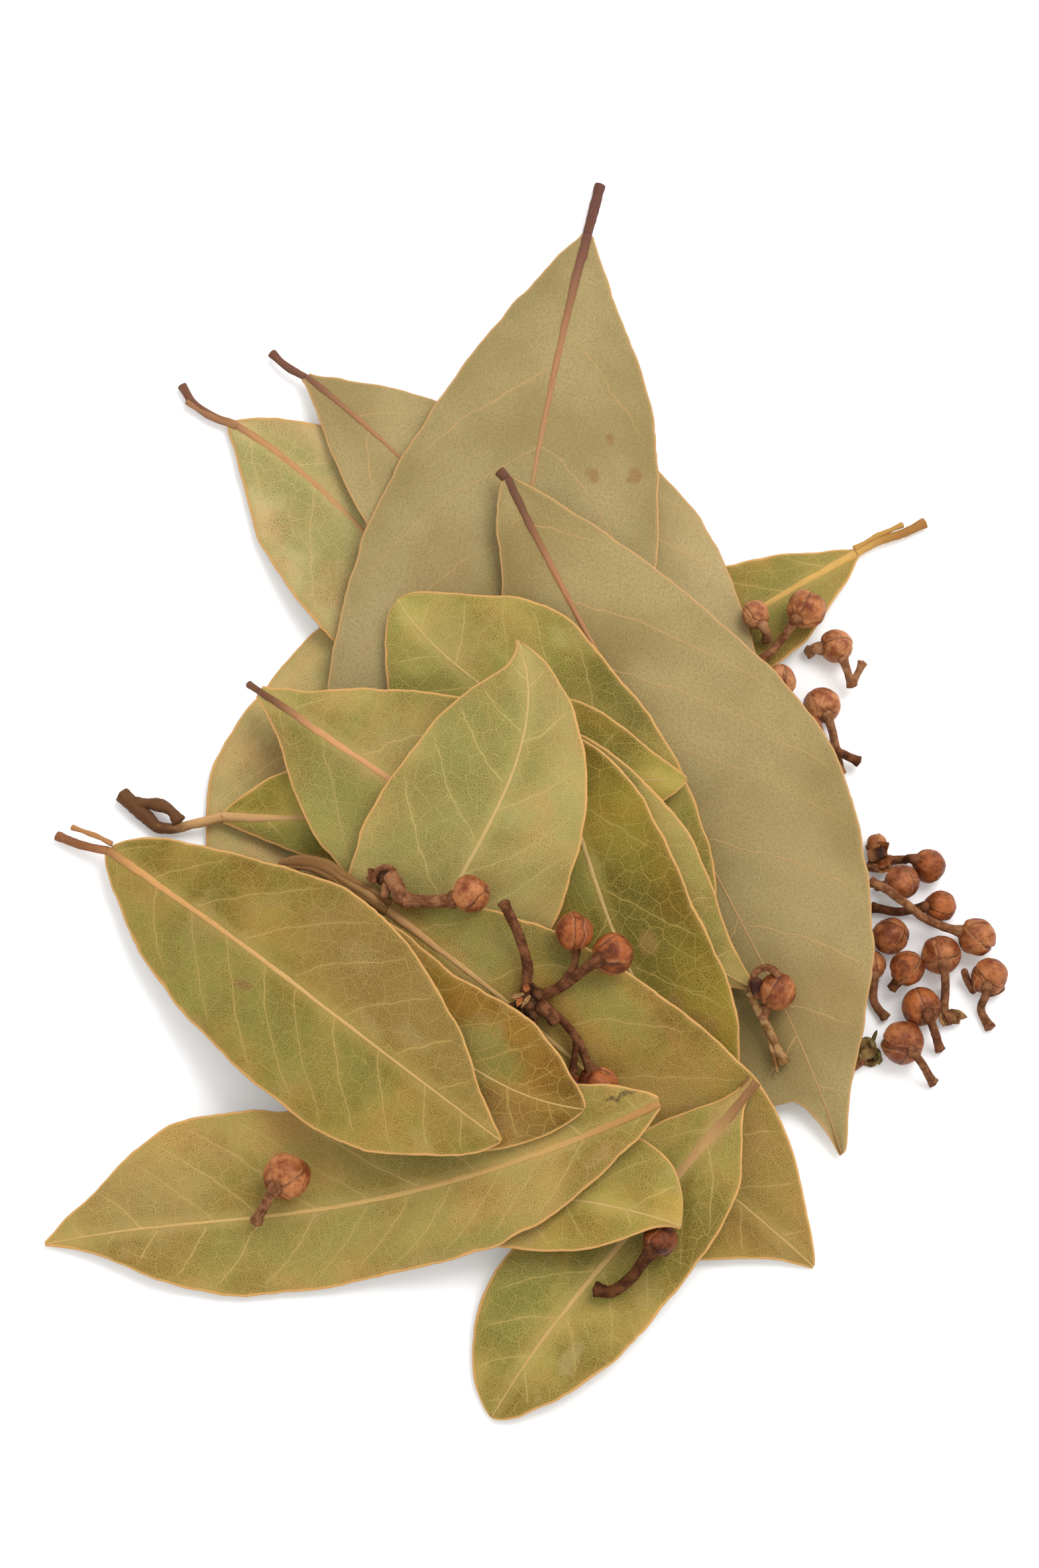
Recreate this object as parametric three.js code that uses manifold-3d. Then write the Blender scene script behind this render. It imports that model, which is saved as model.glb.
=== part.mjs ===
// A small heap of dried bay leaves with bay flower buds on it and along its right edge.
// Millimetres. X points right, Y points away from the viewer and Z points up.
// Each leaf and each bud twig is one closed solid. They are laid down one after another:
// each tilts until its middle lies as low as it can on what is under it, and a leaf then
// sags a little towards the pieces below.
import * as THREE from 'three';
import Module from 'manifold-3d';

const LEAF_THICKNESS = 0.5;
const RIB_RISE = 0.15;
const RIB_SHARE = 0.08;
const STALK_RADIUS = 0.65;
const STRAND_RADIUS = 0.4;
const TIP_RADIUS = 0.22;
const BLADE_STEPS = 13;
const ACROSS = [-1, -0.55, -RIB_SHARE, RIB_SHARE, 0.55, 1];
const ROOT_SHARE = 1 / 8;
const STATIONS = 6;
const CUP_REFERENCE = 10;
const SWAY_SHAPE = 10.4;
const LEFT_EDGE = { waves: 1.3, turn: 0 };
const RIGHT_EDGE = { waves: 1.56, turn: 2 };
const CALM_WIDTH = 5.9;
const RIPPLE = { height: 0.3, along: 9, across: 2.5 };
const BLUNT_EDGE = 0.8;
const TWIG_SIDES = 6;
const HEAD_SIDES = 10;
const HEAD_RINGS = 7;
const HEAD_UNEVEN = 0.05;

// How the pieces are laid down: the gap that they keep, the cell of the height map and of
// the sag, the steep ends of the tilt, how flat a face is that only looks up, how much of
// the free space a leaf sags into, and over what widths it bends.
const GAP = 0.35;
const CELL = 0.25;
const SAG_CELL = 1;
const COARSE_STEP = 0.75;
const FINE_STEP = 0.2;
const LEAF_TILT = 0.3;
const TWIG_TILT = 0.45;
const FINEST_TILT = 0.002;
const FACES_UP = 0.3;
const SAG = 0.85;
const SAG_REACHES = [7, 3.5];

// The middle of the heap's outline, which becomes the origin.
const CENTRE = [1, -0.18];

// Ground that the height map covers.
const GROUND = { x: -68, y: -88, width: 136, depth: 168 };

// Leaves, lowest first. base and tip are the blade's ends, seen from above. bow and sway
// bend the midrib to the left of the way from base to tip. left and right are the
// half-widths at five stations. blunt rounds the base and the tip: 0 is pointed, 1 round.
// arch lifts the middle, cup lifts both edges, twist turns the tip against the base, wave
// is the swing of the edges and turn shifts the waves. stalk leads from the blade to the
// stalk's free end, and strands are split-off strips beside it. shade is the upper or
// under side's colour.
const LEAVES = [
  { name: 'leaf_g', shade: 'olive', base: [-15.1, 25.9], tip: [-28.5, -28.3], bow: 0, sway: 0,
    left: [3, 9, 12, 10, 4], right: [3, 9, 13.9, 11, 4], blunt: [0.5, 0.5],
    arch: 1, cup: -0.9, twist: 0.8, wave: 0.6, turn: 0.4, stalk: [] },
  { name: 'leaf_a', shade: 'green', base: [-33.9, 43.8], tip: [4.7, 1.7], bow: 2, sway: 0.7,
    left: [3.8, 8.5, 10.5, 8.5, 3], right: [3.5, 9.9, 11.6, 8.5, 3], blunt: [0.6, 0.4],
    arch: 0.8, cup: 1, twist: 1.2, wave: 0.5, turn: 1.3,
    stalk: [[-36.2, 44.7], [-38.8, 46.7], [-39.9, 48.6]],
    strands: [[[-33.4, 43.3], [-35.2, 44], [-37.6, 45.3], [-39.3, 46.5]]] },
  { name: 'leaf_b', shade: 'khaki', base: [-25.2, 49.2], tip: [11.3, 16.4], bow: -0.9, sway: 0.5,
    left: [2.4, 8.2, 11, 8.5, 3], right: [2, 6.6, 10, 8, 3], blunt: [0.3, 0.4],
    arch: 0.8, cup: -1.2, twist: -0.8, wave: 0.6, turn: 2.1,
    stalk: [[-27.9, 51], [-29.3, 52.5]] },
  { name: 'leaf_r', shade: 'olive', base: [39.3, 27.6], tip: [-0.5, 4], bow: 0.1, sway: 0.2,
    left: [2.5, 6.3, 7.5, 7, 2.5], right: [2.4, 6, 8, 6.5, 2.5], blunt: [0.3, 0.4],
    arch: 1, cup: 0.8, twist: 0.6, wave: 0.5, turn: 0.2,
    stalk: [[42.2, 29.2], [45.2, 30.3], [47.6, 31.6]],
    strands: [[[39.2, 28.1], [42.2, 29.9], [45, 31.2]]] },
  { name: 'leaf_d', shade: 'khaki', base: [7.5, 43.3], tip: [33.2, -21.2], bow: 0, sway: 0,
    left: [4.4, 8.5, 8, 7, 3], right: [4, 10, 12, 9, 3], blunt: [0.5, 0.4],
    arch: 1.2, cup: -0.8, twist: 0.9, wave: 0.6, turn: 3.3, stalk: [] },
  { name: 'leaf_c', shade: 'khaki', base: [8.1, 67.3], tip: [-12.5, -21.5], bow: 1.7, sway: -0.9,
    left: [4.1, 12.8, 16, 13, 4], right: [4.2, 11.9, 18.6, 17.5, 6], blunt: [0.2, 0.4],
    arch: 1.6, cup: -0.8, twist: 1.2, wave: 0.6, turn: 0.9,
    stalk: [[8.7, 70], [9.6, 73.8]] },
  { name: 'leaf_e', shade: 'khaki', base: [-1.4, 33.9], tip: [36.7, -43.9], bow: 0.8, sway: -0.8,
    left: [4.2, 12.8, 18.8, 13.2, 3.3], right: [3.8, 9, 12, 11.5, 1], blunt: [0.5, 0.9],
    arch: 1.6, cup: -0.8, twist: -0.8, wave: 0.7, turn: 1.7,
    stalk: [[-2.3, 35]] },
  { name: 'leaf_f', shade: 'green', base: [20, -21.5], tip: [-14.1, 19.5], bow: -3.6, sway: -2.3,
    left: [4, 9, 11, 10, 4.2], right: [3.8, 5.8, 9.2, 11.7, 4.9], blunt: [0.5, 1],
    arch: 1.2, cup: 0.8, twist: -0.8, wave: 0.6, turn: 2.6, stalk: [] },
  { name: 'leaf_p', shade: 'green', base: [-34.2, -4.6], tip: [19, -2.8], bow: -1, sway: -0.5,
    left: [3.4, 7.5, 9.8, 9.8, 3], right: [2, 5.5, 8, 7, 2.8], blunt: [0.4, 0.3],
    arch: 1.2, cup: 0.9, twist: 0.8, wave: 0.5, turn: 0.7,
    stalk: [[-37.4, -5.2], [-39.8, -5.6], [-41.8, -5.4], [-43.5, -3.9], [-46.1, -1.5]],
    strands: [[[-39.4, -5], [-40.3, -3.7], [-42, -2.9], [-44.4, -2.6]]] },
  { name: 'leaf_i', shade: 'green', base: [-30, 9.4], tip: [26.4, -25.6], bow: -2.2, sway: 0,
    left: [2.7, 10, 14.6, 12.3, 3.5], right: [3, 10.6, 13, 9, 2], blunt: [0.6, 0.7],
    arch: 1.5, cup: 0.8, twist: 0.8, wave: 0.7, turn: 2.9,
    stalk: [[-31.3, 10.6]] },
  { name: 'leaf_j', shade: 'dark', base: [3.9, 0.5], tip: [23.5, -40.7], bow: -2.9, sway: 0.3,
    left: [4.6, 8.1, 9.4, 8.9, 4], right: [4, 8, 9.4, 8, 3.5], blunt: [0.6, 0.5],
    arch: 1, cup: 0.9, twist: -0.8, wave: 0.5, turn: 0.1, stalk: [] },
  { name: 'leaf_h', shade: 'pale', base: [-12, -29], tip: [-0.2, 12.1], bow: -2.6, sway: 1.9,
    left: [5, 11, 13.1, 9.8, 1.8], right: [5, 12, 10.6, 7, 3.2], blunt: [0.6, 0.3],
    arch: 1.5, cup: 0.7, twist: 0.8, wave: 0.5, turn: 1.5, stalk: [] },
  { name: 'leaf_m', shade: 'dark', base: [-15.3, -17.8], tip: [33.3, -56.8], bow: 0.2, sway: 0,
    left: [3.5, 8.7, 11.6, 11.1, 3.9], right: [4, 9, 12, 10.6, 2.5], blunt: [0.4, 0.3],
    arch: 1.6, cup: 0.8, twist: 1, wave: 0.6, turn: 2.3,
    stalk: [[-17.2, -16.2], [-19.6, -14.9], [-21.8, -13.2], [-25.6, -12], [-27.3, -12.4]] },
  { name: 'leaf_t', shade: 'green', base: [26.5, -36.8], tip: [-3.1, -74], bow: -0.6, sway: 0.4,
    left: [1, 6.6, 8.2, 7.5, 3.6], right: [1.3, 6, 8, 8.8, 4.8], blunt: [0.3, 0.6],
    arch: 1.4, cup: 0.8, twist: 0.8, wave: 0.5, turn: 1.1, stalk: [] },
  { name: 'leaf_s', shade: 'yellow', base: [-20, -45.5], tip: [18, -54], bow: 0.5, sway: -0.4,
    left: [3, 5.5, 7, 8.8, 6.5], right: [3, 6, 6.3, 5.1, 0.9], blunt: [0.5, 1],
    arch: 0.8, cup: 0.7, twist: 0.4, wave: 0.4, turn: 3, stalk: [] },
  { name: 'leaf_q', shade: 'olive', base: [15.6, -40.5], tip: [-53.8, -54.2], bow: 2.8, sway: 0.7,
    left: [3.3, 7.8, 8.7, 8, 1.8], right: [3.9, 8.6, 10.6, 11.6, 3.5], blunt: [0.5, 0.3],
    arch: 1.6, cup: 0.8, twist: 0.8, wave: 0.6, turn: 0.5, stalk: [] },
  { name: 'leaf_o', shade: 'olive', base: [-27.5, -18.8], tip: [7.2, -41.5], bow: -2, sway: 1.1,
    left: [3, 6.5, 7, 7.6, 3.3], right: [3, 7, 9, 8.5, 4.3], blunt: [0.5, 0.4],
    arch: 1, cup: -0.6, twist: 0.5, wave: 0.5, turn: 1.9, stalk: [] },
  { name: 'leaf_l', shade: 'olive', base: [-47.3, -8.7], tip: [-2.1, -45], bow: 0, sway: 0.2,
    left: [4.3, 8.4, 11.7, 8.2, 2.3], right: [3.8, 8.6, 11.1, 10.6, 4.9], blunt: [0.6, 0.3],
    arch: 1.4, cup: 0.7, twist: 0.8, wave: 0.7, turn: 2.7,
    stalk: [[-51, -7.6], [-53.5, -6.4]],
    strands: [[[-47, -8], [-49.1, -6.8], [-51.7, -5.7]]] },
];

// Bud twigs and what broke off them. heads are round flower buds as [x, y, radius], and
// stems are runs of points with a radius. A point's third number is its height above the
// lowest side of the twig. after names the leaf that the twig is laid down after.
const TWIGS = [
  { name: 'bud_u1', after: 'leaf_c', heads: [[27.4, 18.9, 1.6]],
    stems: [{ r: 0.5, run: [[27.4, 18.9, 1.6], [27.9, 17.5, 1.1], [28.8, 16.4]] }] },
  { name: 'bud_u2', after: 'leaf_c', heads: [[33.3, 19.6, 2.2]],
    stems: [{ r: 0.5, run: [[33.3, 19.6, 2.2], [31.4, 18, 1.2], [29.8, 15.4], [27.6, 13.3]] }] },
  { name: 'bud_u3', after: 'leaf_c', heads: [[36.9, 16.1, 1.9]],
    stems: [{ r: 0.6, run: [[36.9, 16.1, 1.9], [35.1, 15.9, 1.2], [33.7, 15.7]] }] },
  { name: 'stem_u4', after: 'leaf_c', heads: [],
    stems: [{ r: 0.5, run: [[37.6, 14.2], [38.2, 12.6], [38.7, 11.2]] },
      { r: 0.45, run: [[38.6, 11.4], [39.3, 12.6], [39.9, 13.8]] }] },
  { name: 'bud_u5', after: 'leaf_c', heads: [[30, 10.8, 1.9]],
    stems: [{ r: 0.5, run: [[30, 10.8, 1.9], [29.2, 9.4, 1.2], [28.2, 7.8]] }] },
  { name: 'bud_u6', after: 'leaf_c', heads: [[35.1, 8.8, 2.1]],
    stems: [{ r: 0.5, run: [[35.1, 8.8, 2.1], [36, 6.9, 1.1], [36.7, 4.6], [37.3, 1.1]] }] },
  { name: 'bud_u7', after: 'leaf_c', heads: [[33.2, 5.4, 1.8]],
    stems: [{ r: 0.5, run: [[33.2, 5.4, 1.8], [35, 4.4, 1.1], [37.3, 3.2, 0.9], [39.4, 2.3, 0.9]] }] },
  { name: 'bud_v1', after: 'leaf_c', heads: [[47.2, -10.3, 1.9]],
    stems: [{ r: 0.5, run: [[47.2, -10.3, 1.9], [46, -9.4, 1.2], [44.2, -9.2], [42.6, -9.3]] }] },
  { name: 'bud_v2', after: 'leaf_c', heads: [[44, -12.6, 1.9]],
    stems: [{ r: 0.5, run: [[44, -12.6, 1.9], [42.4, -12.5, 1], [41.2, -12.4]] }] },
  { name: 'stem_v3', after: 'leaf_c', heads: [[41.3, -7.4, 1.1]],
    stems: [{ r: 0.55, run: [[41.3, -7.4, 1], [41, -8.9, 0.8], [40.5, -10.4]] }] },
  { name: 'bud_v4', after: 'leaf_c', heads: [[48.4, -15.1, 1.8]],
    stems: [{ r: 0.5, run: [[48.4, -15.1, 1.8], [46.4, -15.3, 0.9], [43.6, -15.4], [40.6, -14.9]] }] },
  { name: 'bud_v5', after: 'leaf_c', heads: [[52.5, -18.9, 2.1]],
    stems: [{ r: 0.5, run: [[52.5, -18.9, 2.1], [49.9, -18.1, 1.2], [46.6, -17, 1.4], [44, -15.4, 2],
      [41.8, -13.9, 1.6], [40.2, -13]] }] },
  { name: 'bud_v6', after: 'leaf_c', heads: [[42.6, -18.7, 2.1]],
    stems: [{ r: 0.5, run: [[42.6, -18.7, 2.1], [41, -18.9, 1.1], [39.6, -19.3]] }] },
  { name: 'bud_v7', after: 'leaf_c', heads: [[48.3, -20.9, 2.2]],
    stems: [{ r: 0.5, run: [[48.3, -20.9, 2.2], [48.5, -23, 0.9], [48.9, -25], [48.8, -27.2],
      [49.4, -28.6]] }] },
  { name: 'bud_v8', after: 'leaf_c', heads: [[44.4, -22.8, 2]],
    stems: [{ r: 0.5, run: [[44.4, -22.8, 2], [43.3, -24.1, 1], [42.6, -24.9]] }] },
  { name: 'bud_v9', after: 'leaf_c', heads: [[40.5, -22, 1.6]],
    stems: [{ r: 0.5, run: [[40.5, -22, 1.6], [40, -24, 0.8], [40.8, -26.2], [42, -28]] }] },
  { name: 'bud_v10', after: 'leaf_c', heads: [[46, -27, 2.2]],
    stems: [{ r: 0.5, run: [[46, -27, 2.2], [46.7, -28.9, 0.9], [47.4, -30.2], [48.2, -31.8]] }] },
  { name: 'bud_v11', after: 'leaf_c', heads: [[43.7, -31.3, 2.4]],
    stems: [{ r: 0.5, run: [[43.7, -31.3, 2.4], [44.9, -33.2, 0.9], [45.9, -34.4], [47.4, -35.7]] }] },
  { name: 'bud_v12', after: 'leaf_c', heads: [[53.9, -23.4, 2]],
    stems: [{ r: 0.5, run: [[53.9, -23.4, 2], [52.7, -25.2, 1], [53, -27.2], [54, -29.2]] }] },
  { name: 'bud_v13', after: 'leaf_c', heads: [[39.5, -32.4, 1.5]],
    stems: [{ r: 0.5, run: [[39.5, -32.4, 1.5], [38.6, -33.4, 0.8], [37.4, -34.2]] }] },
  { name: 'twig_w1', after: 'leaf_m',
    heads: [[10.5, -24.2, 2.3], [6.1, -21.9, 2.1], [8.8, -38.1, 2.3], [5.9, -38, 1.5]],
    stems: [
      { r: 0.6, run: [[-1.8, -18.9, 1.6], [0.1, -22.6, 1.2], [0.9, -25.4, 1], [0.6, -29.2, 1]] },
      { r: 0.55, run: [[0.6, -29.2, 1], [4.6, -27.5, 1.2], [7.9, -25.5, 1.6], [10.5, -24.2, 2.3]] },
      { r: 0.45, run: [[4.6, -27.5, 1.2], [6.1, -25.4, 1.5], [6.1, -21.9, 2.1]] },
      { r: 0.5, run: [[0.6, -29.2, 1], [3, -29.8, 0.9], [6.5, -33, 1.2], [8, -35.2, 1.6],
        [8.8, -38.1, 2.3]] },
      { r: 0.45, run: [[0.6, -29.2, 1], [1.4, -30.8, 0.9], [1.9, -32.7, 0.8]] },
      { r: 0.4, run: [[6.5, -33, 1.2], [6.1, -35.8, 1.4], [5.9, -38, 1.5]] }] },
  { name: 'bud_w2', after: 'leaf_t', heads: [[15.8, -55.1, 1.9]],
    stems: [{ r: 0.7, run: [[15.8, -55.1, 1.9], [14.3, -56.8, 1.3], [12.5, -59, 1], [10.2, -60.5, 0.9],
      [8.5, -60.2, 0.9]] }] },
  { name: 'bud_w3', after: 'leaf_m', heads: [[-5.5, -17.4, 2.1]],
    stems: [
      { r: 0.75, run: [[-5.5, -17.4, 2.1], [-7.7, -17.9, 1.4], [-10.8, -17.8, 1], [-12.9, -17.5, 1]] },
      { r: 0.7, run: [[-12.7, -17.8, 1], [-13.8, -16.1, 1], [-15.2, -14.3, 1]] }] },
  { name: 'bud_w4', after: 'leaf_l', heads: [[-26.2, -47.6, 2.6]],
    stems: [{ r: 0.6, run: [[-26.2, -47.6, 2.6], [-27.8, -49.8, 1.2], [-29.7, -52.2]] }] },
  { name: 'bud_w5', after: 'leaf_l', heads: [[29.3, -26.4, 2.1]],
    stems: [
      { r: 0.55, run: [[26.2, -26.3, 0.8], [27.6, -29.1, 0.7], [29, -31.7], [30.1, -34.1]] },
      { r: 0.5, run: [[27.6, -29.1, 0.7], [28.4, -27.7, 1.2], [29.3, -26.4, 2.1]] }] },
];

const SHADES = {
  green: 0x7d8a4e,
  dark: 0x66713f,
  pale: 0x9aa468,
  yellow: 0xb0a458,
  olive: 0x857c4a,
  khaki: 0x9a8e66,
  bud: 0x7a4a2c,
};

const wasm = await Module();
wasm.setup();

// Half-width between the stations: a smooth curve through them, ending at nothing.
function halfWidth(widths, blunt, t) {
  const knots = [(1 - 2 * blunt[0]) * widths[0], 0, ...widths, 0, (1 - 2 * blunt[1]) * widths[4]];
  const place = Math.min(t * STATIONS, STATIONS - 1e-4);
  const k = Math.floor(place);
  const f = place - k;
  const [a, b, c, d] = knots.slice(k, k + 4);
  const bend = 2 * a - 5 * b + 4 * c - d;
  const rise = 3 * (b - c) + d - a;
  return b + 0.5 * f * (c - a + f * (bend + f * rise));
}

// Thickness across a round stalk, as a share of the middle's, with blunt edges.
function roundness(v) {
  return Math.sqrt(1 - BLUNT_EDGE * v * v);
}

// A point of the blade, with t from 0 at the base to 1 at the tip and v from -1 at the
// right edge to 1 at the left. Gives x, y, the height of the middle of the blade's
// thickness and half of that thickness.
function bladePoint(leaf, t, v) {
  const s = (1 - Math.cos(Math.PI * t)) / 2;
  const dx = leaf.tip[0] - leaf.base[0];
  const dy = leaf.tip[1] - leaf.base[1];
  const length = Math.hypot(dx, dy);
  const edge = v < 0 ? halfWidth(leaf.right, leaf.blunt, t) : halfWidth(leaf.left, leaf.blunt, t);
  const stalk = STALK_RADIUS * Math.max(0, 1 - s / ROOT_SHARE);
  const width = Math.hypot(edge, stalk, TIP_RADIUS);
  const bend = 4 * leaf.bow * s * (1 - s) + SWAY_SHAPE * leaf.sway * s * (1 - s) * (1 - 2 * s);
  const off = bend + v * width;
  const x = leaf.base[0] + dx * s - (dy / length) * off;
  const y = leaf.base[1] + dy * s + (dx / length) * off;
  const out = (v * width) / CUP_REFERENCE;
  const side = v < 0 ? RIGHT_EDGE : LEFT_EDGE;
  const swing = Math.sin(2 * Math.PI * side.waves * s + leaf.turn + side.turn);
  const calm = Math.min(1, width / CALM_WIDTH);
  const z = 4 * leaf.arch * s * (1 - s) + leaf.cup * out * out + leaf.twist * (s - 0.5) * out
    + leaf.wave * v * v * calm * swing
    + RIPPLE.height * Math.sin(RIPPLE.along * s + leaf.turn) * Math.cos(RIPPLE.across * v + leaf.turn);
  const rib = Math.abs(v) <= RIB_SHARE ? RIB_RISE : 0;
  const root = stalk * roundness(v);
  return [x, y, z, Math.max(LEAF_THICKNESS / 2 + rib, root)];
}

// One closed solid from rows of [x, y, height, half thickness], across each row from right
// to left. Both faces are split into triangles alike.
function stripSolid(rows) {
  const across = rows[0].length;
  const points = [];
  for (const side of [1, -1]) {
    for (const row of rows) {
      for (const [x, y, z, half] of row) points.push([x, y, z + side * half, x, y]);
    }
  }
  const top = (i, j) => i * across + j;
  const bottom = (i, j) => (rows.length + i) * across + j;
  const faces = [];
  const quad = (a, b, c, d) => faces.push([a, b, c], [a, c, d]);
  for (let i = 0; i < rows.length - 1; i++) {
    for (let j = 0; j < across - 1; j++) {
      quad(top(i, j), top(i + 1, j), top(i + 1, j + 1), top(i, j + 1));
      faces.push([bottom(i, j), bottom(i + 1, j + 1), bottom(i + 1, j)]);
      faces.push([bottom(i, j), bottom(i, j + 1), bottom(i + 1, j + 1)]);
    }
    const last = across - 1;
    quad(bottom(i, 0), bottom(i + 1, 0), top(i + 1, 0), top(i, 0));
    quad(bottom(i + 1, last), bottom(i, last), top(i, last), top(i + 1, last));
  }
  const end = rows.length - 1;
  for (let j = 0; j < across - 1; j++) {
    quad(bottom(0, j + 1), bottom(0, j), top(0, j), top(0, j + 1));
    quad(bottom(end, j), bottom(end, j + 1), top(end, j + 1), top(end, j));
  }
  return { points, faces };
}

// The leaf's blade and stalk as one strip.
function leafSolid(leaf) {
  const rows = [];
  const start = bladePoint(leaf, 0, 0);
  let next = start;
  for (const point of leaf.stalk) {
    const along = [next[0] - point[0], next[1] - point[1]];
    const length = Math.hypot(...along);
    const row = ACROSS.map((v) => [
      point[0] - (along[1] / length) * v * STALK_RADIUS,
      point[1] + (along[0] / length) * v * STALK_RADIUS,
      start[2],
      STALK_RADIUS * roundness(v),
    ]);
    rows.unshift(row);
    next = point;
  }
  for (let i = 0; i <= BLADE_STEPS; i++) rows.push(ACROSS.map((v) => bladePoint(leaf, i / BLADE_STEPS, v)));
  return stripSolid(rows);
}

// A round rod along a run of points, with a corner of its section on top.
function rodSolid(run, radius) {
  const points = [];
  const faces = [];
  run.forEach((point, i) => {
    const before = run[Math.max(i - 1, 0)];
    const after = run[Math.min(i + 1, run.length - 1)];
    const along = [after[0] - before[0], after[1] - before[1]];
    const length = Math.hypot(...along);
    const height = point[2] ?? radius;
    for (let k = 0; k < TWIG_SIDES; k++) {
      const angle = Math.PI / 2 + (2 * Math.PI * k) / TWIG_SIDES;
      const out = radius * Math.cos(angle);
      const x = point[0] - (along[1] / length) * out;
      const y = point[1] + (along[0] / length) * out;
      points.push([x, y, height + radius * Math.sin(angle), point[0], point[1]]);
    }
  });
  const at = (i, k) => i * TWIG_SIDES + (k % TWIG_SIDES);
  for (let i = 0; i < run.length - 1; i++) {
    for (let k = 0; k < TWIG_SIDES; k++) {
      faces.push([at(i, k), at(i, k + 1), at(i + 1, k + 1)], [at(i, k), at(i + 1, k + 1), at(i + 1, k)]);
    }
  }
  const end = run.length - 1;
  for (let k = 1; k < TWIG_SIDES - 1; k++) {
    faces.push([at(0, 0), at(0, k + 1), at(0, k)], [at(end, 0), at(end, k), at(end, k + 1)]);
  }
  return { points, faces };
}

// A round bud with slightly uneven sides and its poles straight above and below its middle.
function headSolid([x, y, radius]) {
  const points = [[x, y, 2 * radius, x, y]];
  for (let i = 1; i < HEAD_RINGS; i++) {
    const polar = (Math.PI * i) / HEAD_RINGS;
    for (let k = 0; k < HEAD_SIDES; k++) {
      const angle = (2 * Math.PI * k) / HEAD_SIDES;
      const uneven = 1 + HEAD_UNEVEN * Math.sin(polar) * Math.cos(2 * angle + 3 * x);
      const ring = radius * uneven * Math.sin(polar);
      points.push([
        x + ring * Math.cos(angle),
        y + ring * Math.sin(angle),
        radius + radius * Math.cos(polar),
        x,
        y,
      ]);
    }
  }
  points.push([x, y, 0, x, y]);
  const foot = points.length - 1;
  const at = (i, k) => 1 + (i - 1) * HEAD_SIDES + (k % HEAD_SIDES);
  const faces = [];
  for (let k = 0; k < HEAD_SIDES; k++) {
    faces.push([0, at(1, k), at(1, k + 1)], [foot, at(HEAD_RINGS - 1, k + 1), at(HEAD_RINGS - 1, k)]);
    for (let i = 1; i < HEAD_RINGS - 1; i++) {
      faces.push([at(i, k), at(i + 1, k), at(i + 1, k + 1)], [at(i, k), at(i + 1, k + 1), at(i, k + 1)]);
    }
  }
  return { points, faces };
}

// The height of what lies on the ground so far. The bare ground is a gap below zero, so
// that the lowest pieces touch zero.
const columns = Math.round(GROUND.width / CELL);
const lines = Math.round(GROUND.depth / CELL);
const heights = new Float64Array(columns * lines).fill(-GAP);

function cellOf(x, y) {
  return Math.floor((y - GROUND.y) / CELL) * columns + Math.floor((x - GROUND.x) / CELL);
}

// Points spread over the faces of the solids, as [x, y, z, anchor x, anchor y].
function spread(solids, step, onlyUnder) {
  const found = [];
  for (const { points, faces } of solids) {
    for (const face of faces) {
      const [a, b, c] = face.map((k) => points[k]);
      const normal = (b[0] - a[0]) * (c[1] - a[1]) - (b[1] - a[1]) * (c[0] - a[0]);
      const pairs = [[a, b], [b, c], [c, a]];
      const sides = pairs.map(([p, q]) => Math.hypot(p[0] - q[0], p[1] - q[1], p[2] - q[2]));
      if (onlyUnder && normal > FACES_UP * sides[0] * sides[2]) continue;
      const count = Math.max(1, Math.ceil(Math.max(...sides) / step));
      for (let i = 0; i <= count; i++) {
        for (let j = 0; j <= count - i; j++) {
          const u = i / count;
          const w = j / count;
          found.push(a.map((value, k) => value + u * (b[k] - value) + w * (c[k] - value)));
        }
      }
    }
  }
  return found;
}

// How far a piece has to rise to clear what is under it when it tilts by two slopes.
function riseNeeded(samples, middle, slopes) {
  let rise = -Infinity;
  for (const [x, y, z, ax, ay] of samples) {
    const tilted = z + slopes[0] * (ax - middle[0]) + slopes[1] * (ay - middle[1]);
    rise = Math.max(rise, heights[cellOf(x, y)] + GAP - tilted);
  }
  return rise;
}

// The two slopes at which the piece's middle comes lowest.
function restingSlopes(samples, middle, most) {
  let best = [0, 0];
  let lowest = riseNeeded(samples, middle, best);
  for (let step = most / 2; step > FINEST_TILT; step /= 2) {
    let moved = true;
    while (moved) {
      moved = false;
      for (const [i, j] of [[1, 0], [-1, 0], [0, 1], [0, -1], [1, 1], [1, -1], [-1, 1], [-1, -1]]) {
        const trial = [best[0] + i * step, best[1] + j * step];
        if (Math.hypot(...trial) > most) continue;
        const rise = riseNeeded(samples, middle, trial);
        if (rise < lowest - 1e-6) {
          lowest = rise;
          best = trial;
          moved = true;
        }
      }
    }
  }
  return best;
}

// Slides a window along the rows or the columns of a field and joins what it covers.
function sweep(field, width, depth, reach, alongX, join) {
  const out = new Float64Array(field.length);
  for (let row = 0; row < depth; row++) {
    for (let column = 0; column < width; column++) {
      const covered = [];
      for (let k = -reach; k <= reach; k++) {
        const i = alongX ? column + k : column;
        const j = alongX ? row : row + k;
        if (i >= 0 && j >= 0 && i < width && j < depth) covered.push(field[j * width + i]);
      }
      out[row * width + column] = join(covered);
    }
  }
  return out;
}

const least = (values) => Math.min(...values);

function mean(values) {
  const known = values.filter(Number.isFinite);
  return known.length ? known.reduce((sum, value) => sum + value, 0) / known.length : Infinity;
}

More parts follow.
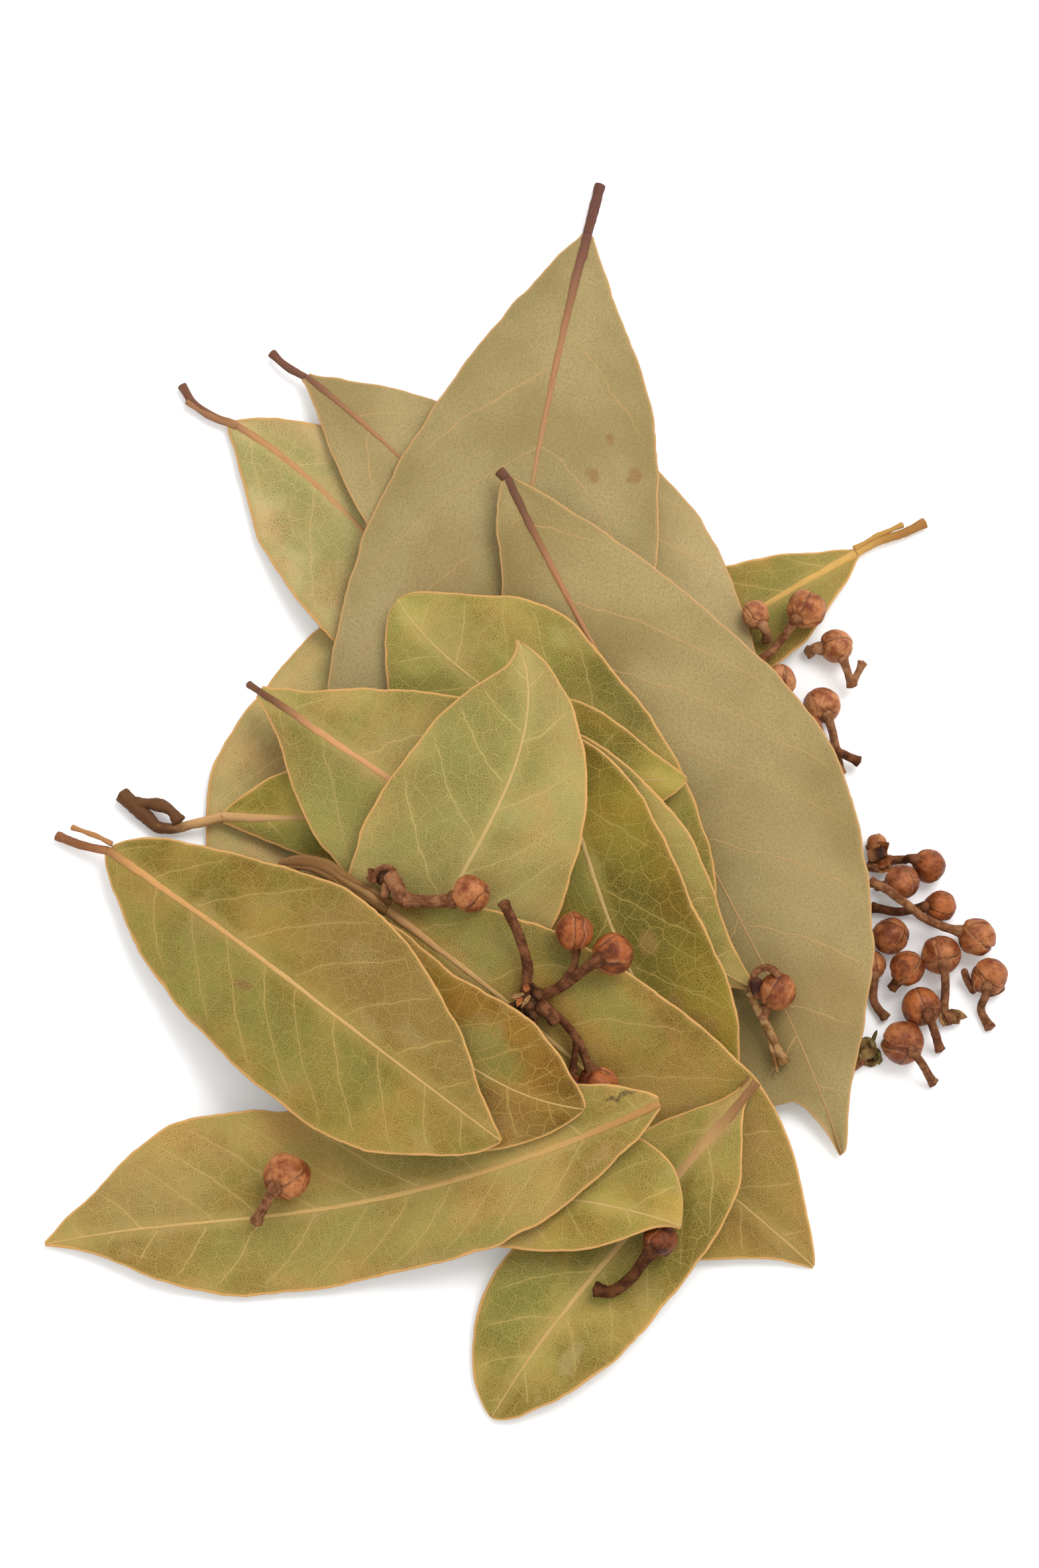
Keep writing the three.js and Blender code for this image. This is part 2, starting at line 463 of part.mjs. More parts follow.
// How far a leaf may sag at each place: a smooth field, nowhere more than the free space.
function sagField(samples, sagReach) {
  const width = Math.ceil(GROUND.width / SAG_CELL);
  const depth = Math.ceil(GROUND.depth / SAG_CELL);
  let field = new Float64Array(width * depth).fill(Infinity);
  for (const [x, y, z] of samples) {
    const k = Math.floor((y - GROUND.y) / SAG_CELL) * width + Math.floor((x - GROUND.x) / SAG_CELL);
    field[k] = Math.min(field[k], z - heights[cellOf(x, y)] - GAP);
  }
  const reach = Math.round(sagReach / SAG_CELL);
  for (const alongX of [true, false]) field = sweep(field, width, depth, 2 * reach + 1, alongX, least);
  for (let k = 0; k < 2; k++) {
    for (const alongX of [true, false]) field = sweep(field, width, depth, reach, alongX, mean);
  }
  return (x, y) => {
    const u = (x - GROUND.x) / SAG_CELL - 0.5;
    const w = (y - GROUND.y) / SAG_CELL - 0.5;
    const i = Math.floor(u);
    const j = Math.floor(w);
    const at = (column, row) => field[row * width + column];
    const near = at(i, j) + (u - i) * (at(i + 1, j) - at(i, j));
    const far = at(i, j + 1) + (u - i) * (at(i + 1, j + 1) - at(i, j + 1));
    return SAG * (near + (w - j) * (far - near));
  };
}

function shift(solids, amount) {
  for (const { points } of solids) {
    for (const point of points) point[2] += amount(point[3], point[4]);
  }
}

// Moves a piece straight up or down until it just clears what is under it.
function settle(solids, middle) {
  const rise = riseNeeded(spread(solids, FINE_STEP, true), middle, [0, 0]);
  shift(solids, () => rise);
}

// Lays a piece down on what is there, and adds it to the height map.
function layDown(solids, most, sags) {
  const anchors = solids.flatMap(({ points }) => points);
  const middle = [3, 4].map((k) => anchors.reduce((sum, point) => sum + point[k], 0) / anchors.length);
  const slopes = restingSlopes(spread(solids, COARSE_STEP, true), middle, most);
  shift(solids, (x, y) => slopes[0] * (x - middle[0]) + slopes[1] * (y - middle[1]));
  settle(solids, middle);
  for (const reach of sags ? SAG_REACHES : []) {
    const sag = sagField(spread(solids, FINE_STEP, true), reach);
    shift(solids, (x, y) => -sag(x, y));
    settle(solids, middle);
  }
  for (const [x, y, z] of spread(solids, FINE_STEP, false)) {
    for (const step of [0, 1, -1, columns, -columns]) {
      const k = cellOf(x, y) + step;
      heights[k] = Math.max(heights[k], z);
    }
  }
}

// Joins the overlapping solids of one piece into a single closed geometry.
function joined(solids) {
  const whole = solids
    .map(({ points, faces }) => new wasm.Manifold(new wasm.Mesh({
      numProp: 3,
      vertProperties: new Float32Array(points.flatMap((point) => point.slice(0, 3))),
      triVerts: new Uint32Array(faces.flat()),
    })))
    .reduce((all, solid) => all.add(solid));
  const mesh = whole.getMesh();
  const geometry = new THREE.BufferGeometry();
  geometry.setAttribute('position', new THREE.BufferAttribute(mesh.vertProperties, 3));
  geometry.setIndex(new THREE.BufferAttribute(mesh.triVerts, 1));
  geometry.translate(-CENTRE[0], -CENTRE[1], 0);
  geometry.computeVertexNormals();
  return geometry;
}

function addPiece(heap, name, shade, solids) {
  const material = new THREE.MeshStandardMaterial({ color: SHADES[shade], roughness: 0.7, metalness: 0 });
  const mesh = new THREE.Mesh(joined(solids), material);
  mesh.name = name;
  heap.add(mesh);
}

const heap = new THREE.Group();
for (const leaf of LEAVES) {
  const strands = (leaf.strands ?? []).map((run) => rodSolid(run, STRAND_RADIUS));
  const solids = [leafSolid(leaf), ...strands];
  layDown(solids, LEAF_TILT, true);
  addPiece(heap, leaf.name, leaf.shade, solids);
  for (const twig of TWIGS.filter(({ after }) => after === leaf.name)) {
    const parts = [...twig.heads.map(headSolid), ...twig.stems.map(({ r, run }) => rodSolid(run, r))];
    layDown(parts, TWIG_TILT, false);
    addPiece(heap, twig.name, 'bud', parts);
  }
}

export default heap;
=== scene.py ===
"""Looks of a heap of dried bay leaves with bay flower buds, built around its CAD frame."""
import math

import bpy
import numpy as np
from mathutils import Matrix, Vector
from mathutils.bvhtree import BVHTree


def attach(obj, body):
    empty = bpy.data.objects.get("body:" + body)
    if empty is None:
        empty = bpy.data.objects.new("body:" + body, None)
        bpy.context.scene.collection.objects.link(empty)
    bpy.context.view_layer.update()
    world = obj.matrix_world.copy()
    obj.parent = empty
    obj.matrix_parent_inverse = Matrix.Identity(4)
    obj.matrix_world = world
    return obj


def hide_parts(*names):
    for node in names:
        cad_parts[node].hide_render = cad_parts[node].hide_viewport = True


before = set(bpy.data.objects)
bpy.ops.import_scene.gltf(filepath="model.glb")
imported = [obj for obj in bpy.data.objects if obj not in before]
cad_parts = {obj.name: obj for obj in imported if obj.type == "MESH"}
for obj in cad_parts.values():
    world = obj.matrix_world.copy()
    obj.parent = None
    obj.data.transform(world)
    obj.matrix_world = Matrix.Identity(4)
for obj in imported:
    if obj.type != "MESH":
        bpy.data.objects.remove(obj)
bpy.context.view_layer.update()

# The plan is written in millimetres, and this point of it is the frame's origin.
CENTRE = np.array((1.0, -0.18, 0.0))
MM = 0.001

# How light the studio makes a matt surface that faces up, as a share of its own colour, and the studio.
STUDIO_LIGHT = 1.37
WORLD_LIGHT = 1.0
FLOOR_GLOW = 0.12
FLOOR_SIZE, FLOOR_DROP = 3.0, 0.0002
KEY_PLACE, KEY_SIZE, KEY_POWER = (330, 300, 820), 520, 4.7

CAMERA_TARGET = (-1.0, 0.18, 0.0)
CAMERA_DISTANCE = 650.0
CAMERA_ELEVATION = 75.0
CAMERA_LENS = 128.5
SENSOR = 36.0


# ---------------------------------------------------------------------------------- camera and light
def place_thing(name, data):
    thing = bpy.data.objects.new(name, data)
    bpy.context.scene.collection.objects.link(thing)
    return thing


def look_at(thing, place, target):
    thing.location = Vector(place) * MM
    way = Vector(target) - Vector(place)
    thing.rotation_euler = way.to_track_quat("-Z", "Y").to_euler()


def make_camera():
    data = bpy.data.cameras.new("camera")
    data.lens = CAMERA_LENS
    data.sensor_width = SENSOR
    data.clip_start, data.clip_end = 0.01, 20.0
    camera = place_thing("camera", data)
    lift = math.radians(CAMERA_ELEVATION)
    x, y, z = CAMERA_TARGET
    place = (x, y - CAMERA_DISTANCE * math.cos(lift), z + CAMERA_DISTANCE * math.sin(lift))
    look_at(camera, place, CAMERA_TARGET)
    bpy.context.scene.camera = camera


def make_studio():
    world = bpy.data.worlds.new("studio")
    world.use_nodes = True
    background = world.node_tree.nodes["Background"]
    background.inputs["Color"].default_value = (1.0, 1.0, 1.0, 1.0)
    background.inputs["Strength"].default_value = WORLD_LIGHT
    bpy.context.scene.world = world
    bpy.context.scene.view_settings.view_transform = "Standard"
    data = bpy.data.lights.new("key", "AREA")
    data.shape = "DISK"
    data.size = KEY_SIZE * MM
    data.energy = KEY_POWER
    look_at(place_thing("key", data), KEY_PLACE, (0, 0, 0))


# ---------------------------------------------------------------------------------- smooth noise
def lattice(i, j, k, seed):
    mixed = i.astype(np.uint64) * np.uint64(374761393) + j.astype(np.uint64) * np.uint64(668265263)
    mixed = mixed + k.astype(np.uint64) * np.uint64(2147483647) + np.uint64(seed * 974711 + 12345)
    mixed = (mixed ^ (mixed >> np.uint64(13))) * np.uint64(1274126177)
    mixed = (mixed ^ (mixed >> np.uint64(16))) & np.uint64(0xFFFFFF)
    return mixed.astype(float) / 0x7FFFFF - 1


def noise(x, y, z=0.0, seed=0):
    """Smooth noise between -1 and 1 that changes over about one unit."""
    x, y, z = (np.asarray(a, float) + 512 for a in np.broadcast_arrays(x, y, z))
    i, j, k = np.floor(x), np.floor(y), np.floor(z)
    u, v, w = (f * f * (3 - 2 * f) for f in (x - i, y - j, z - k))
    i, j, k = i.astype(np.int64), j.astype(np.int64), k.astype(np.int64)

    def row(jj, kk):
        a = lattice(i, jj, kk, seed)
        return a + (lattice(i + 1, jj, kk, seed) - a) * u

    near = row(j, k) + (row(j + 1, k) - row(j, k)) * v
    far = row(j, k + 1) + (row(j + 1, k + 1) - row(j, k + 1)) * v
    return near + (far - near) * w


def noise_on(points, scale, seed, shift=0):
    """The noise at points in space."""
    x, y, z = points.T * scale
    return noise(x + shift, y, z, seed)


def smooth_step(low, high, x):
    f = np.clip((x - low) / (high - low), 0, 1)
    return f * f * (3 - 2 * f)


def bell(x, middle, width):
    return np.exp(-(((x - middle) / width) ** 2))


def smooth_through(knots, values, at):
    """A smooth curve through values at knots, read at other places. Rows of values go with knots."""
    knots, values, at = (np.asarray(a, float) for a in (knots, values, at))
    steps = np.diff(knots)
    shape = (-1,) + (1,) * (values.ndim - 1)
    slopes = np.diff(values, axis=0) / steps.reshape(shape)
    tangents = np.empty_like(values)
    before, after = steps[:-1].reshape(shape), steps[1:].reshape(shape)
    tangents[1:-1] = (slopes[:-1] * after + slopes[1:] * before) / (before + after)
    tangents[0], tangents[-1] = slopes[0], slopes[-1]
    k = np.clip(np.searchsorted(knots, at, side="right") - 1, 0, len(knots) - 2)
    h = steps[k].reshape(shape)
    f = ((at - knots[k]) / steps[k]).reshape(shape)
    a, b, ta, tb = values[k], values[k + 1], tangents[k] * h, tangents[k + 1] * h
    return (
        a * (1 + 2 * f) * (1 - f) ** 2
        + ta * f * (1 - f) ** 2
        + b * f * f * (3 - 2 * f)
        + tb * f * f * (f - 1)
    )


def run_along(path):
    """How far along a path each point of it is."""
    return np.concatenate([[0], np.cumsum(np.linalg.norm(np.diff(path, axis=0), axis=1))])


def curve_through(points, step):
    """Points about a step apart on a smooth curve through some points."""
    points = np.asarray(points, float)
    run = run_along(points)
    return smooth_through(run, points, np.linspace(0, run[-1], max(3, int(run[-1] / step) + 1)))


# ---------------------------------------------------------------------------------- meshes
# Nothing dips under the surface that the heap lies on.
LEAST_HEIGHT = 0.02

# Where a solid's top is felt for: at the place itself, then a little beside it.
NUDGES = ((0, 0), (0.02, 0.01), (-0.02, 0.01), (0.01, -0.02), (0.1, 0), (-0.1, 0), (0, 0.1), (0, -0.1))
ABOVE_ALL = 100


class Piece:
    """Closed shells in the plan's millimetres that become one object."""

    def __init__(self, name):
        self.name = name
        self.points, self.faces, self.looks = [], [], []
        self.fields = {"blade": [], "vein": []}
        self.count = 0

    def add(self, points, faces, looks, **fields):
        points = np.asarray(points, float).reshape(-1, 3)
        self.points.append(points)
        self.faces += [tuple(int(k) + self.count for k in face) for face in faces]
        self.looks += [looks] * len(faces) if isinstance(looks, int) else list(looks)
        for key, kept in self.fields.items():
            kept.append(np.asarray(fields.get(key, np.zeros_like(points)), float))
        self.count += len(points)

    def build(self, materials, node):
        points = np.concatenate(self.points)
        points[:, 2] = np.maximum(points[:, 2], LEAST_HEIGHT)
        points = (points - CENTRE) * MM
        mesh = bpy.data.meshes.new(self.name)
        mesh.from_pydata(points.tolist(), [], self.faces)
        for material in materials:
            mesh.materials.append(material)
        mesh.polygons.foreach_set("material_index", self.looks)
        mesh.polygons.foreach_set("use_smooth", [True] * len(self.faces))
        for key, kept in self.fields.items():
            layer = mesh.attributes.new(key, "FLOAT_VECTOR", "POINT")
            layer.data.foreach_set("vector", np.concatenate(kept).ravel())
        mesh.update()
        piece = place_thing(self.name, mesh)
        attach(piece, "root")
        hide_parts(node)


class Solid:
    """The node's own solid, asked for the height of its top at a place of the plan."""

    def __init__(self, node):
        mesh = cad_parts[node].data
        points = np.empty(len(mesh.vertices) * 3)
        mesh.vertices.foreach_get("co", points)
        self.points = points.reshape(-1, 3) / MM + CENTRE
        faces = [tuple(face.vertices) for face in mesh.polygons]
        self.tree = BVHTree.FromPolygons(self.points.tolist(), faces)

    def top(self, x, y):
        for dx, dy in NUDGES:
            hit = self.tree.ray_cast(Vector((x + dx, y + dy, ABOVE_ALL)), Vector((0, 0, -1)))[0]
            if hit is not None:
                return hit.z
        away = np.hypot(self.points[:, 0] - x, self.points[:, 1] - y)
        return self.points[away < away.min() + 0.5, 2].max()


def tube_faces(rings, sides):
    """Faces of a tube of rings. The two points that follow its rings close its ends."""
    k = np.arange(sides)
    nxt = (k + 1) % sides
    last = (rings - 1) * sides
    faces = list(zip(np.full(sides, rings * sides), k, nxt))
    for a in range(0, last, sides):
        faces += list(zip(a + k, a + sides + k, a + sides + nxt, a + nxt))
    return faces + list(zip(np.full(sides, rings * sides + 1), last + nxt, last + k))


def sheet_faces(rows, columns):
    """Faces of a sheet's upper and lower grid, and the walk around its edge with what follows each point."""
    wide, count = columns + 1, (rows + 1) * (columns + 1)
    i, j = np.meshgrid(np.arange(rows), np.arange(columns), indexing="ij")
    a = (i * wide + j).ravel()
    upper = np.stack([a, a + wide, a + wide + 1, a + 1], axis=1)
    lower = np.stack([a, a + 1, a + wide + 1, a + wide], axis=1) + count
    right = [k * wide for k in range(rows + 1)]
    far = [rows * wide + k for k in range(1, wide)]
    left = [k * wide + columns for k in range(rows - 1, -1, -1)]
    loop = np.array(right + far + left + list(range(columns - 1, 0, -1)))
    return upper, lower, loop, np.roll(loop, -1)


def sweep(piece, look, path, half_width, half_height, sides, rough, lumps, seed):
    """Adds a closed tube along a path. Its field: millimetres along and around, and the share of the way."""
    path = np.array(path, float)
    path[:, 2] = np.maximum(path[:, 2], half_height + LEAST_HEIGHT)
    along = np.gradient(path, axis=0)
    along /= np.linalg.norm(along, axis=1)[:, None]
    aside = np.cross([0, 0, 1], along)
    aside /= np.linalg.norm(aside, axis=1)[:, None]
    over = np.cross(along, aside)
    run = run_along(path)[:, None]
    turn = np.arange(sides) * 2 * math.pi / sides
    ring_x, ring_y = np.cos(turn), np.sin(turn)
    swell = 1 + lumps * noise(run / 1.6 + seed, ring_x * 0.8, ring_y * 0.8, seed)
    swell = swell + rough * noise(run / 0.35 + seed, ring_x * 2.2, ring_y * 2.2, seed + 1)
    points = (
        path[:, None]
        + aside[:, None] * (ring_x * swell * half_width[:, None])[..., None]
        + over[:, None] * (ring_y * swell * half_height[:, None])[..., None]
    )
    fields = np.empty((len(path), sides, 3))
    fields[..., 0] = run
    fields[..., 1] = turn * np.maximum(half_width, half_height).mean()
    fields[..., 2] = run / run[-1]
    outward = ((0, -1), (-1, 1))
    caps = [path[i] + along[i] * out * 0.35 * min(half_width[i], half_height[i]) for i, out in outward]
    ends = [[0, 0, 0], [run[-1, 0], 0, 1]]
    points = np.concatenate([points.reshape(-1, 3), caps])
    fields = np.concatenate([fields.reshape(-1, 3), ends])
    piece.add(points, tube_faces(len(path), sides), look, blade=fields)


# ---------------------------------------------------------------------------------- leaves
# What the CAD solids are made from, in millimetres.
STALK_RADIUS = 0.65
STRAND_RADIUS = 0.4
TIP_RADIUS = 0.22
ROOT_SHARE = 1 / 8
RIB_SHARE = 0.08
RIB_RISE = 0.15
LEAF_THICKNESS = 0.5
BLADE_STEPS = 13
STATIONS = 6
FEELERS = (0.07, 0.55, 0.97)

# Half of a blade's thickness, and the spacing of its mesh.
SHEET = 0.14
CELL_ALONG = 0.45
CELL_ACROSS = 0.5

# Which of its materials a part of a leaf or of a twig has.
UPPER, UNDER, RIB = 0, 1, 2
SKIN, WOOD, SPLINTER, ROUGH = 0, 1, 2, 3

PALE, TAN, BROWN, RUST = (188, 164, 112), (178, 148, 94), (152, 118, 64), (150, 104, 62)
FRESH, MOSS = (142, 142, 72), (106, 99, 36)

# Places and widths are in millimetres, colours are sRGB. Stains are along and aside of the midrib, half their
# length and width, a colour and a strength.
LEAVES = [
    dict(name="g", up=True, base=(-15.1, 25.9), tip=(-28.5, -28.3), bow=0, sway=0, left=(3, 9, 12, 10, 4),
        right=(3, 9, 13.9, 11, 4), blunt=(0.5, 0.5), deep=(175, 146, 91), light=(206, 178, 120), patch=0.2,
        rib=(205, 165, 105), foot=(180, 130, 80), gap=8.0, rib_width=0.4, net=0.3),
    dict(name="a", up=True, base=(-33.9, 43.8), tip=(4.7, 1.7), bow=2, sway=0.7,
        left=(3.8, 8.5, 10.5, 8.5, 3), right=(3.5, 9.9, 11.6, 8.5, 3), blunt=(0.6, 0.4), stalk=((-36.2, 44.7),
        (-38.8, 46.7), (-39.9, 48.6)), strands=(((-33.4, 43.3), (-35.2, 44), (-37.6, 45.3), (-39.3, 46.5)),),
        deep=(170, 150, 92), light=(218, 190, 138), patch=0.35, rib=(205, 150, 100), foot=(128, 84, 64),
        gap=8.5, rib_width=0.55, net=0.35, stalk_width=0.5, stains=((8, -1, 6, 5, FRESH, 0.6),
        (17, -2, 7, 5, FRESH, 0.55), (16, -5, 3, 0.9, PALE, 0.4), (15, -1, 2, 1.2, PALE, 0.3),
        (24, -1, 4, 3, TAN, 0.5))),
    dict(name="b", up=False, base=(-25.2, 49.2), tip=(11.3, 16.4), bow=-0.9, sway=0.5,
        left=(2.4, 8.2, 11, 8.5, 3), right=(2, 6.6, 10, 8, 3), blunt=(0.3, 0.4), stalk=((-27.9, 51),
        (-29.3, 52.5)), deep=(166, 143, 93), light=(189, 168, 116), patch=0.1, rib=(184, 132, 92),
        foot=(124, 82, 66), gap=9.0, rib_width=0.45, net=0.2, stalk_width=0.46),
    dict(name="r", up=True, base=(39.3, 27.6), tip=(-0.5, 4), bow=0.1, sway=0.2, left=(2.5, 6.3, 7.5, 7, 2.5),
        right=(2.4, 6, 8, 6.5, 2.5), blunt=(0.3, 0.4), stalk=((42.2, 29.2), (45.2, 30.3), (47.6, 31.6)),
        strands=(((39.2, 28.1), (42.2, 29.9), (45, 31.2)),), deep=(146, 119, 51), light=(182, 150, 76),
        patch=0.1, rib=(224, 176, 96), foot=(176, 122, 62), gap=7.0, rib_width=0.5, net=0.3, stalk_width=0.52,
        stains=((9, 0, 8, 5, FRESH, 0.5),)),
    dict(name="d", up=False, base=(7.5, 43.3), tip=(33.2, -21.2), bow=0, sway=0, left=(4.4, 8.5, 8, 7, 3),
        right=(4, 10, 12, 9, 3), blunt=(0.5, 0.4), deep=(177, 154, 103), light=(199, 176, 125), patch=0.1,
        rib=(190, 140, 98), foot=(150, 100, 70), gap=9.0, rib_width=0.4, net=0.15),
    dict(name="c", up=False, base=(8.1, 67.3), tip=(-12.5, -21.5), bow=1.7, sway=-0.9,
        left=(4.1, 12.8, 16, 13, 4), right=(4.2, 11.9, 18.6, 17.5, 6), blunt=(0.2, 0.4), stalk=((8.7, 70),
        (9.6, 73.8)), fade=(0.03, 0.26, 0.5), deep=(160, 139, 88), light=(184, 163, 113), patch=0.15,
        rib=(186, 132, 92), foot=(112, 72, 60), gap=13.0, rib_width=0.55, net=0.15, stalk_width=0.6,
        stains=((26, 8, 0.9, 0.7, RUST, 0.6), (31, 7, 1.1, 0.8, RUST, 0.6), (30, 12, 1, 0.8, RUST, 0.6),
        (60, 9, 9, 5, TAN, 0.3), (46, -9, 8, 4, BROWN, 0.25))),
    dict(name="e", up=False, base=(-1.4, 33.9), tip=(36.7, -43.9), bow=0.8, sway=-0.8,
        left=(4.2, 12.8, 18.8, 13.2, 3.3), right=(3.8, 9, 12, 11.5, 2), blunt=(0.5, 0.9),
        lobe=(72, 78.6, 3.2), stalk=((-2.3, 35),), fade=(0.03, 0.2, 0.34), deep=(157, 134, 82),
        light=(181, 159, 107), patch=0.15, rib=(190, 132, 90), foot=(116, 78, 58), gap=12.0, rib_width=0.5,
        net=0.15, stalk_width=0.54, stains=((30, -5, 12, 5, BROWN, 0.22), (55, 10, 10, 5, PALE, 0.3),
        (70, 5, 7, 6, TAN, 0.3))),
    dict(name="f", up=True, base=(20, -21.5), tip=(-14.1, 19.5), bow=-3.6, sway=-2.3,
        left=(4, 9, 11, 10, 4.2), right=(3.8, 5.8, 9.2, 11.7, 4.9), blunt=(0.5, 1), deep=(146, 126, 52),
        light=(189, 169, 91), patch=0.15, rib=(215, 185, 120), foot=(180, 140, 85), gap=7.0, rib_width=0.38,
        net=0.35, stains=((45, -2, 5, 4, TAN, 0.45), (36, -11, 3, 2, PALE, 0.25), (25, -10, 9, 4, MOSS, 0.75),
        (43, 4, 8, 5, FRESH, 0.45))),
    dict(name="p", up=True, base=(-34.2, -4.6), tip=(19, -2.8), bow=-1, sway=-0.5,
        left=(3.4, 7.5, 9.8, 9.8, 3), right=(2, 5.5, 8, 7, 2.8), blunt=(0.4, 0.3), stalk=((-37.4, -5.2),
        (-39.8, -5.6), (-41.8, -5.4), (-43.5, -3.9), (-46.1, -1.5)), strands=(((-39.4, -5), (-40.3, -3.7),
        (-42, -2.9), (-44.4, -2.6)),), flare=0.75, knob=9.0, strand_width=0.82, strand_share=0.05,
        fade=(0.1, 0.16, 0.6), deep=(136, 112, 32), light=(190, 168, 77), patch=0.15, rib=(214, 166, 110),
        foot=(112, 74, 44), gap=7.0, rib_width=0.45, net=0.3, stains=((6, -3, 6, 3, FRESH, 0.6),
        (40, 3, 10, 4, MOSS, 0.5))),
    dict(name="i", up=True, base=(-30, 9.4), tip=(26.4, -25.6), bow=-2.2, sway=0,
        left=(2.7, 10, 14.6, 12.3, 3.5), right=(3, 10.6, 13, 9, 2), blunt=(0.6, 0.7), stalk=((-31.3, 10.6),),
        deep=(146, 126, 60), light=(189, 165, 95), patch=0.2, rib=(226, 166, 112), foot=(126, 84, 58),
        gap=8.0, rib_width=0.58, net=0.3, stalk_width=0.4, stains=((14, 0, 4, 2.5, TAN, 0.55),
        (19, 3, 6, 3, TAN, 0.4), (14, -4, 7, 4, FRESH, 0.45), (18, -9, 9, 5, FRESH, 0.45))),
    dict(name="j", up=True, base=(3.9, 0.5), tip=(23.5, -40.7), bow=-2.9, sway=0.3,
        left=(4.6, 8.1, 9.4, 8.9, 4), right=(4, 8, 9.4, 8, 3.5), blunt=(0.6, 0.5), deep=(114, 90, 19),
        light=(154, 129, 42), patch=0.12, rib=(206, 172, 112), foot=(190, 160, 95), gap=7.5, rib_width=0.42,
        net=0.45, stains=((22, 1, 12, 5, MOSS, 0.6), (25, 3, 1.8, 1.2, BROWN, 0.8),
        (32, 3, 2.2, 1.5, BROWN, 0.75), (35, 5, 1.6, 1.6, RUST, 0.5), (15, -1, 4, 3, FRESH, 0.5),
        (14, 1, 1.4, 1, PALE, 0.25))),
    dict(name="h", up=True, base=(-12, -29), tip=(-0.2, 12.1), bow=-2.6, sway=1.9,
        left=(5, 11, 13.1, 9.8, 1.8), right=(5, 12, 10.6, 7, 3.2), blunt=(0.6, 0.3), deep=(165, 142, 79),
        light=(192, 169, 104), patch=0.2, rib=(222, 190, 128), foot=(215, 175, 115), gap=7.5, rib_width=0.44,
        net=0.35, stains=((27, 0, 1.6, 1.3, PALE, 0.3), (27, 5, 1.6, 1.2, PALE, 0.3),
        (19, 2, 2, 1.5, PALE, 0.3), (27, -10, 2, 1.6, PALE, 0.3), (37, -5, 7, 6, TAN, 0.45),
        (30, 3, 9, 7, FRESH, 0.5), (21, 5, 9, 7, FRESH, 0.45))),
    dict(name="m", up=True, base=(-15.3, -17.8), tip=(33.3, -56.8), bow=0.2, sway=0,
        left=(3.5, 8.7, 11.6, 11.1, 3.9), right=(4, 9, 12, 10.6, 2.5), blunt=(0.4, 0.3),
        stalk=((-17.2, -16.2), (-19.6, -14.9), (-21.8, -13.2), (-25.6, -12), (-27.3, -12.4)),
        strands=(((-27.1, -12), (-25.4, -11.6), (-21.6, -12.7), (-19.4, -14.4), (-16.9, -15.7),
        (-14.5, -17.3)), ((-27.4, -12.8), (-25.8, -12.5), (-22.1, -13.7), (-19.8, -15.4), (-17.4, -16.7),
        (-15, -18.3))), strand_width=0.5, strand_share=0.1, fade=(0.06, 0.24, 0.45), deep=(136, 103, 38),
        light=(179, 145, 70), patch=0.5, rib=(208, 158, 102), foot=(134, 94, 50), gap=7.5, rib_width=0.52,
        net=0.25, stalk_width=0.55, stains=((10, 4, 8, 4, FRESH, 0.6), (54, 3, 12, 8, BROWN, 0.5),
        (39, 4, 6, 4, BROWN, 0.5), (25, 7, 8, 3, FRESH, 0.45), (16, 8, 7, 3, MOSS, 0.6))),
    dict(name="t", up=True, base=(26.5, -36.8), tip=(-3.1, -74), bow=-0.6, sway=0.4,
        left=(1, 6.6, 8.2, 7.5, 3.6), right=(1.3, 6, 8, 8.8, 4.8), blunt=(0.3, 0.6), deep=(129, 108, 38),
        light=(180, 157, 80), patch=0.25, rib=(200, 156, 100), foot=(152, 106, 66), gap=6.5, rib_width=0.85,
        net=0.35, stains=((1, 0, 4, 2, RUST, 0.6), (6, 0, 5, 2, (180, 138, 88), 0.7),
        (37, 4, 2, 1.4, PALE, 0.55), (26, 6, 2.4, 1.6, PALE, 0.25), (26, 0, 7, 3.5, MOSS, 0.5),
        (36, -6, 7, 4, FRESH, 0.5))),
    dict(name="s", up=True, base=(-20, -45.5), tip=(18, -54), bow=0.5, sway=-0.4, left=(3, 5.5, 7, 8.8, 6.5),
        right=(3, 6, 6.3, 5.1, 0.9), blunt=(0.5, 1), deep=(148, 123, 46), light=(192, 163, 82), patch=0.3,
        rib=(208, 176, 112), foot=(200, 160, 100), gap=6.0, rib_width=0.36, net=0.3, stains=((38, 1, 3, 4,
        (212, 166, 78), 0.45), (33, 5, 6, 3, FRESH, 0.35))),
    dict(name="q", up=True, base=(15.6, -40.5), tip=(-53.8, -54.2), bow=2.8, sway=0.7,
        left=(3.3, 7.8, 8.7, 8, 1.8), right=(3.9, 8.6, 10.6, 11.6, 3.5), blunt=(0.5, 0.3),
        deep=(151, 125, 56), light=(191, 158, 88), patch=0.25, rib=(218, 174, 104), foot=(190, 140, 80),
        gap=6.5, rib_width=0.55, net=0.3, stains=((3.5, -2.4, 3.6, 0.3, (84, 68, 36), 0.9),
        (23, 9, 10, 4, FRESH, 0.5), (40, 3, 14, 5, FRESH, 0.45), (26, -5, 12, 4, FRESH, 0.4),
        (6, 7, 7, 4, BROWN, 0.5), (28, 10, 8, 3, TAN, 0.5), (59, -3, 9, 6, TAN, 0.5))),
    dict(name="o", up=True, base=(-27.5, -18.8), tip=(7.2, -41.5), bow=-2, sway=1.1,
        left=(3, 6.5, 7, 7.6, 3.3), right=(3, 7, 9, 8.5, 4.3), blunt=(0.5, 0.4), deep=(114, 76, 15),
        light=(155, 112, 36), patch=0.5, rib=(200, 164, 104), foot=(190, 140, 85), gap=6.0, rib_width=0.4,
        net=0.6, stains=((29, 2, 5, 3.5, FRESH, 0.6), (34, -3, 5, 3, BROWN, 0.5))),
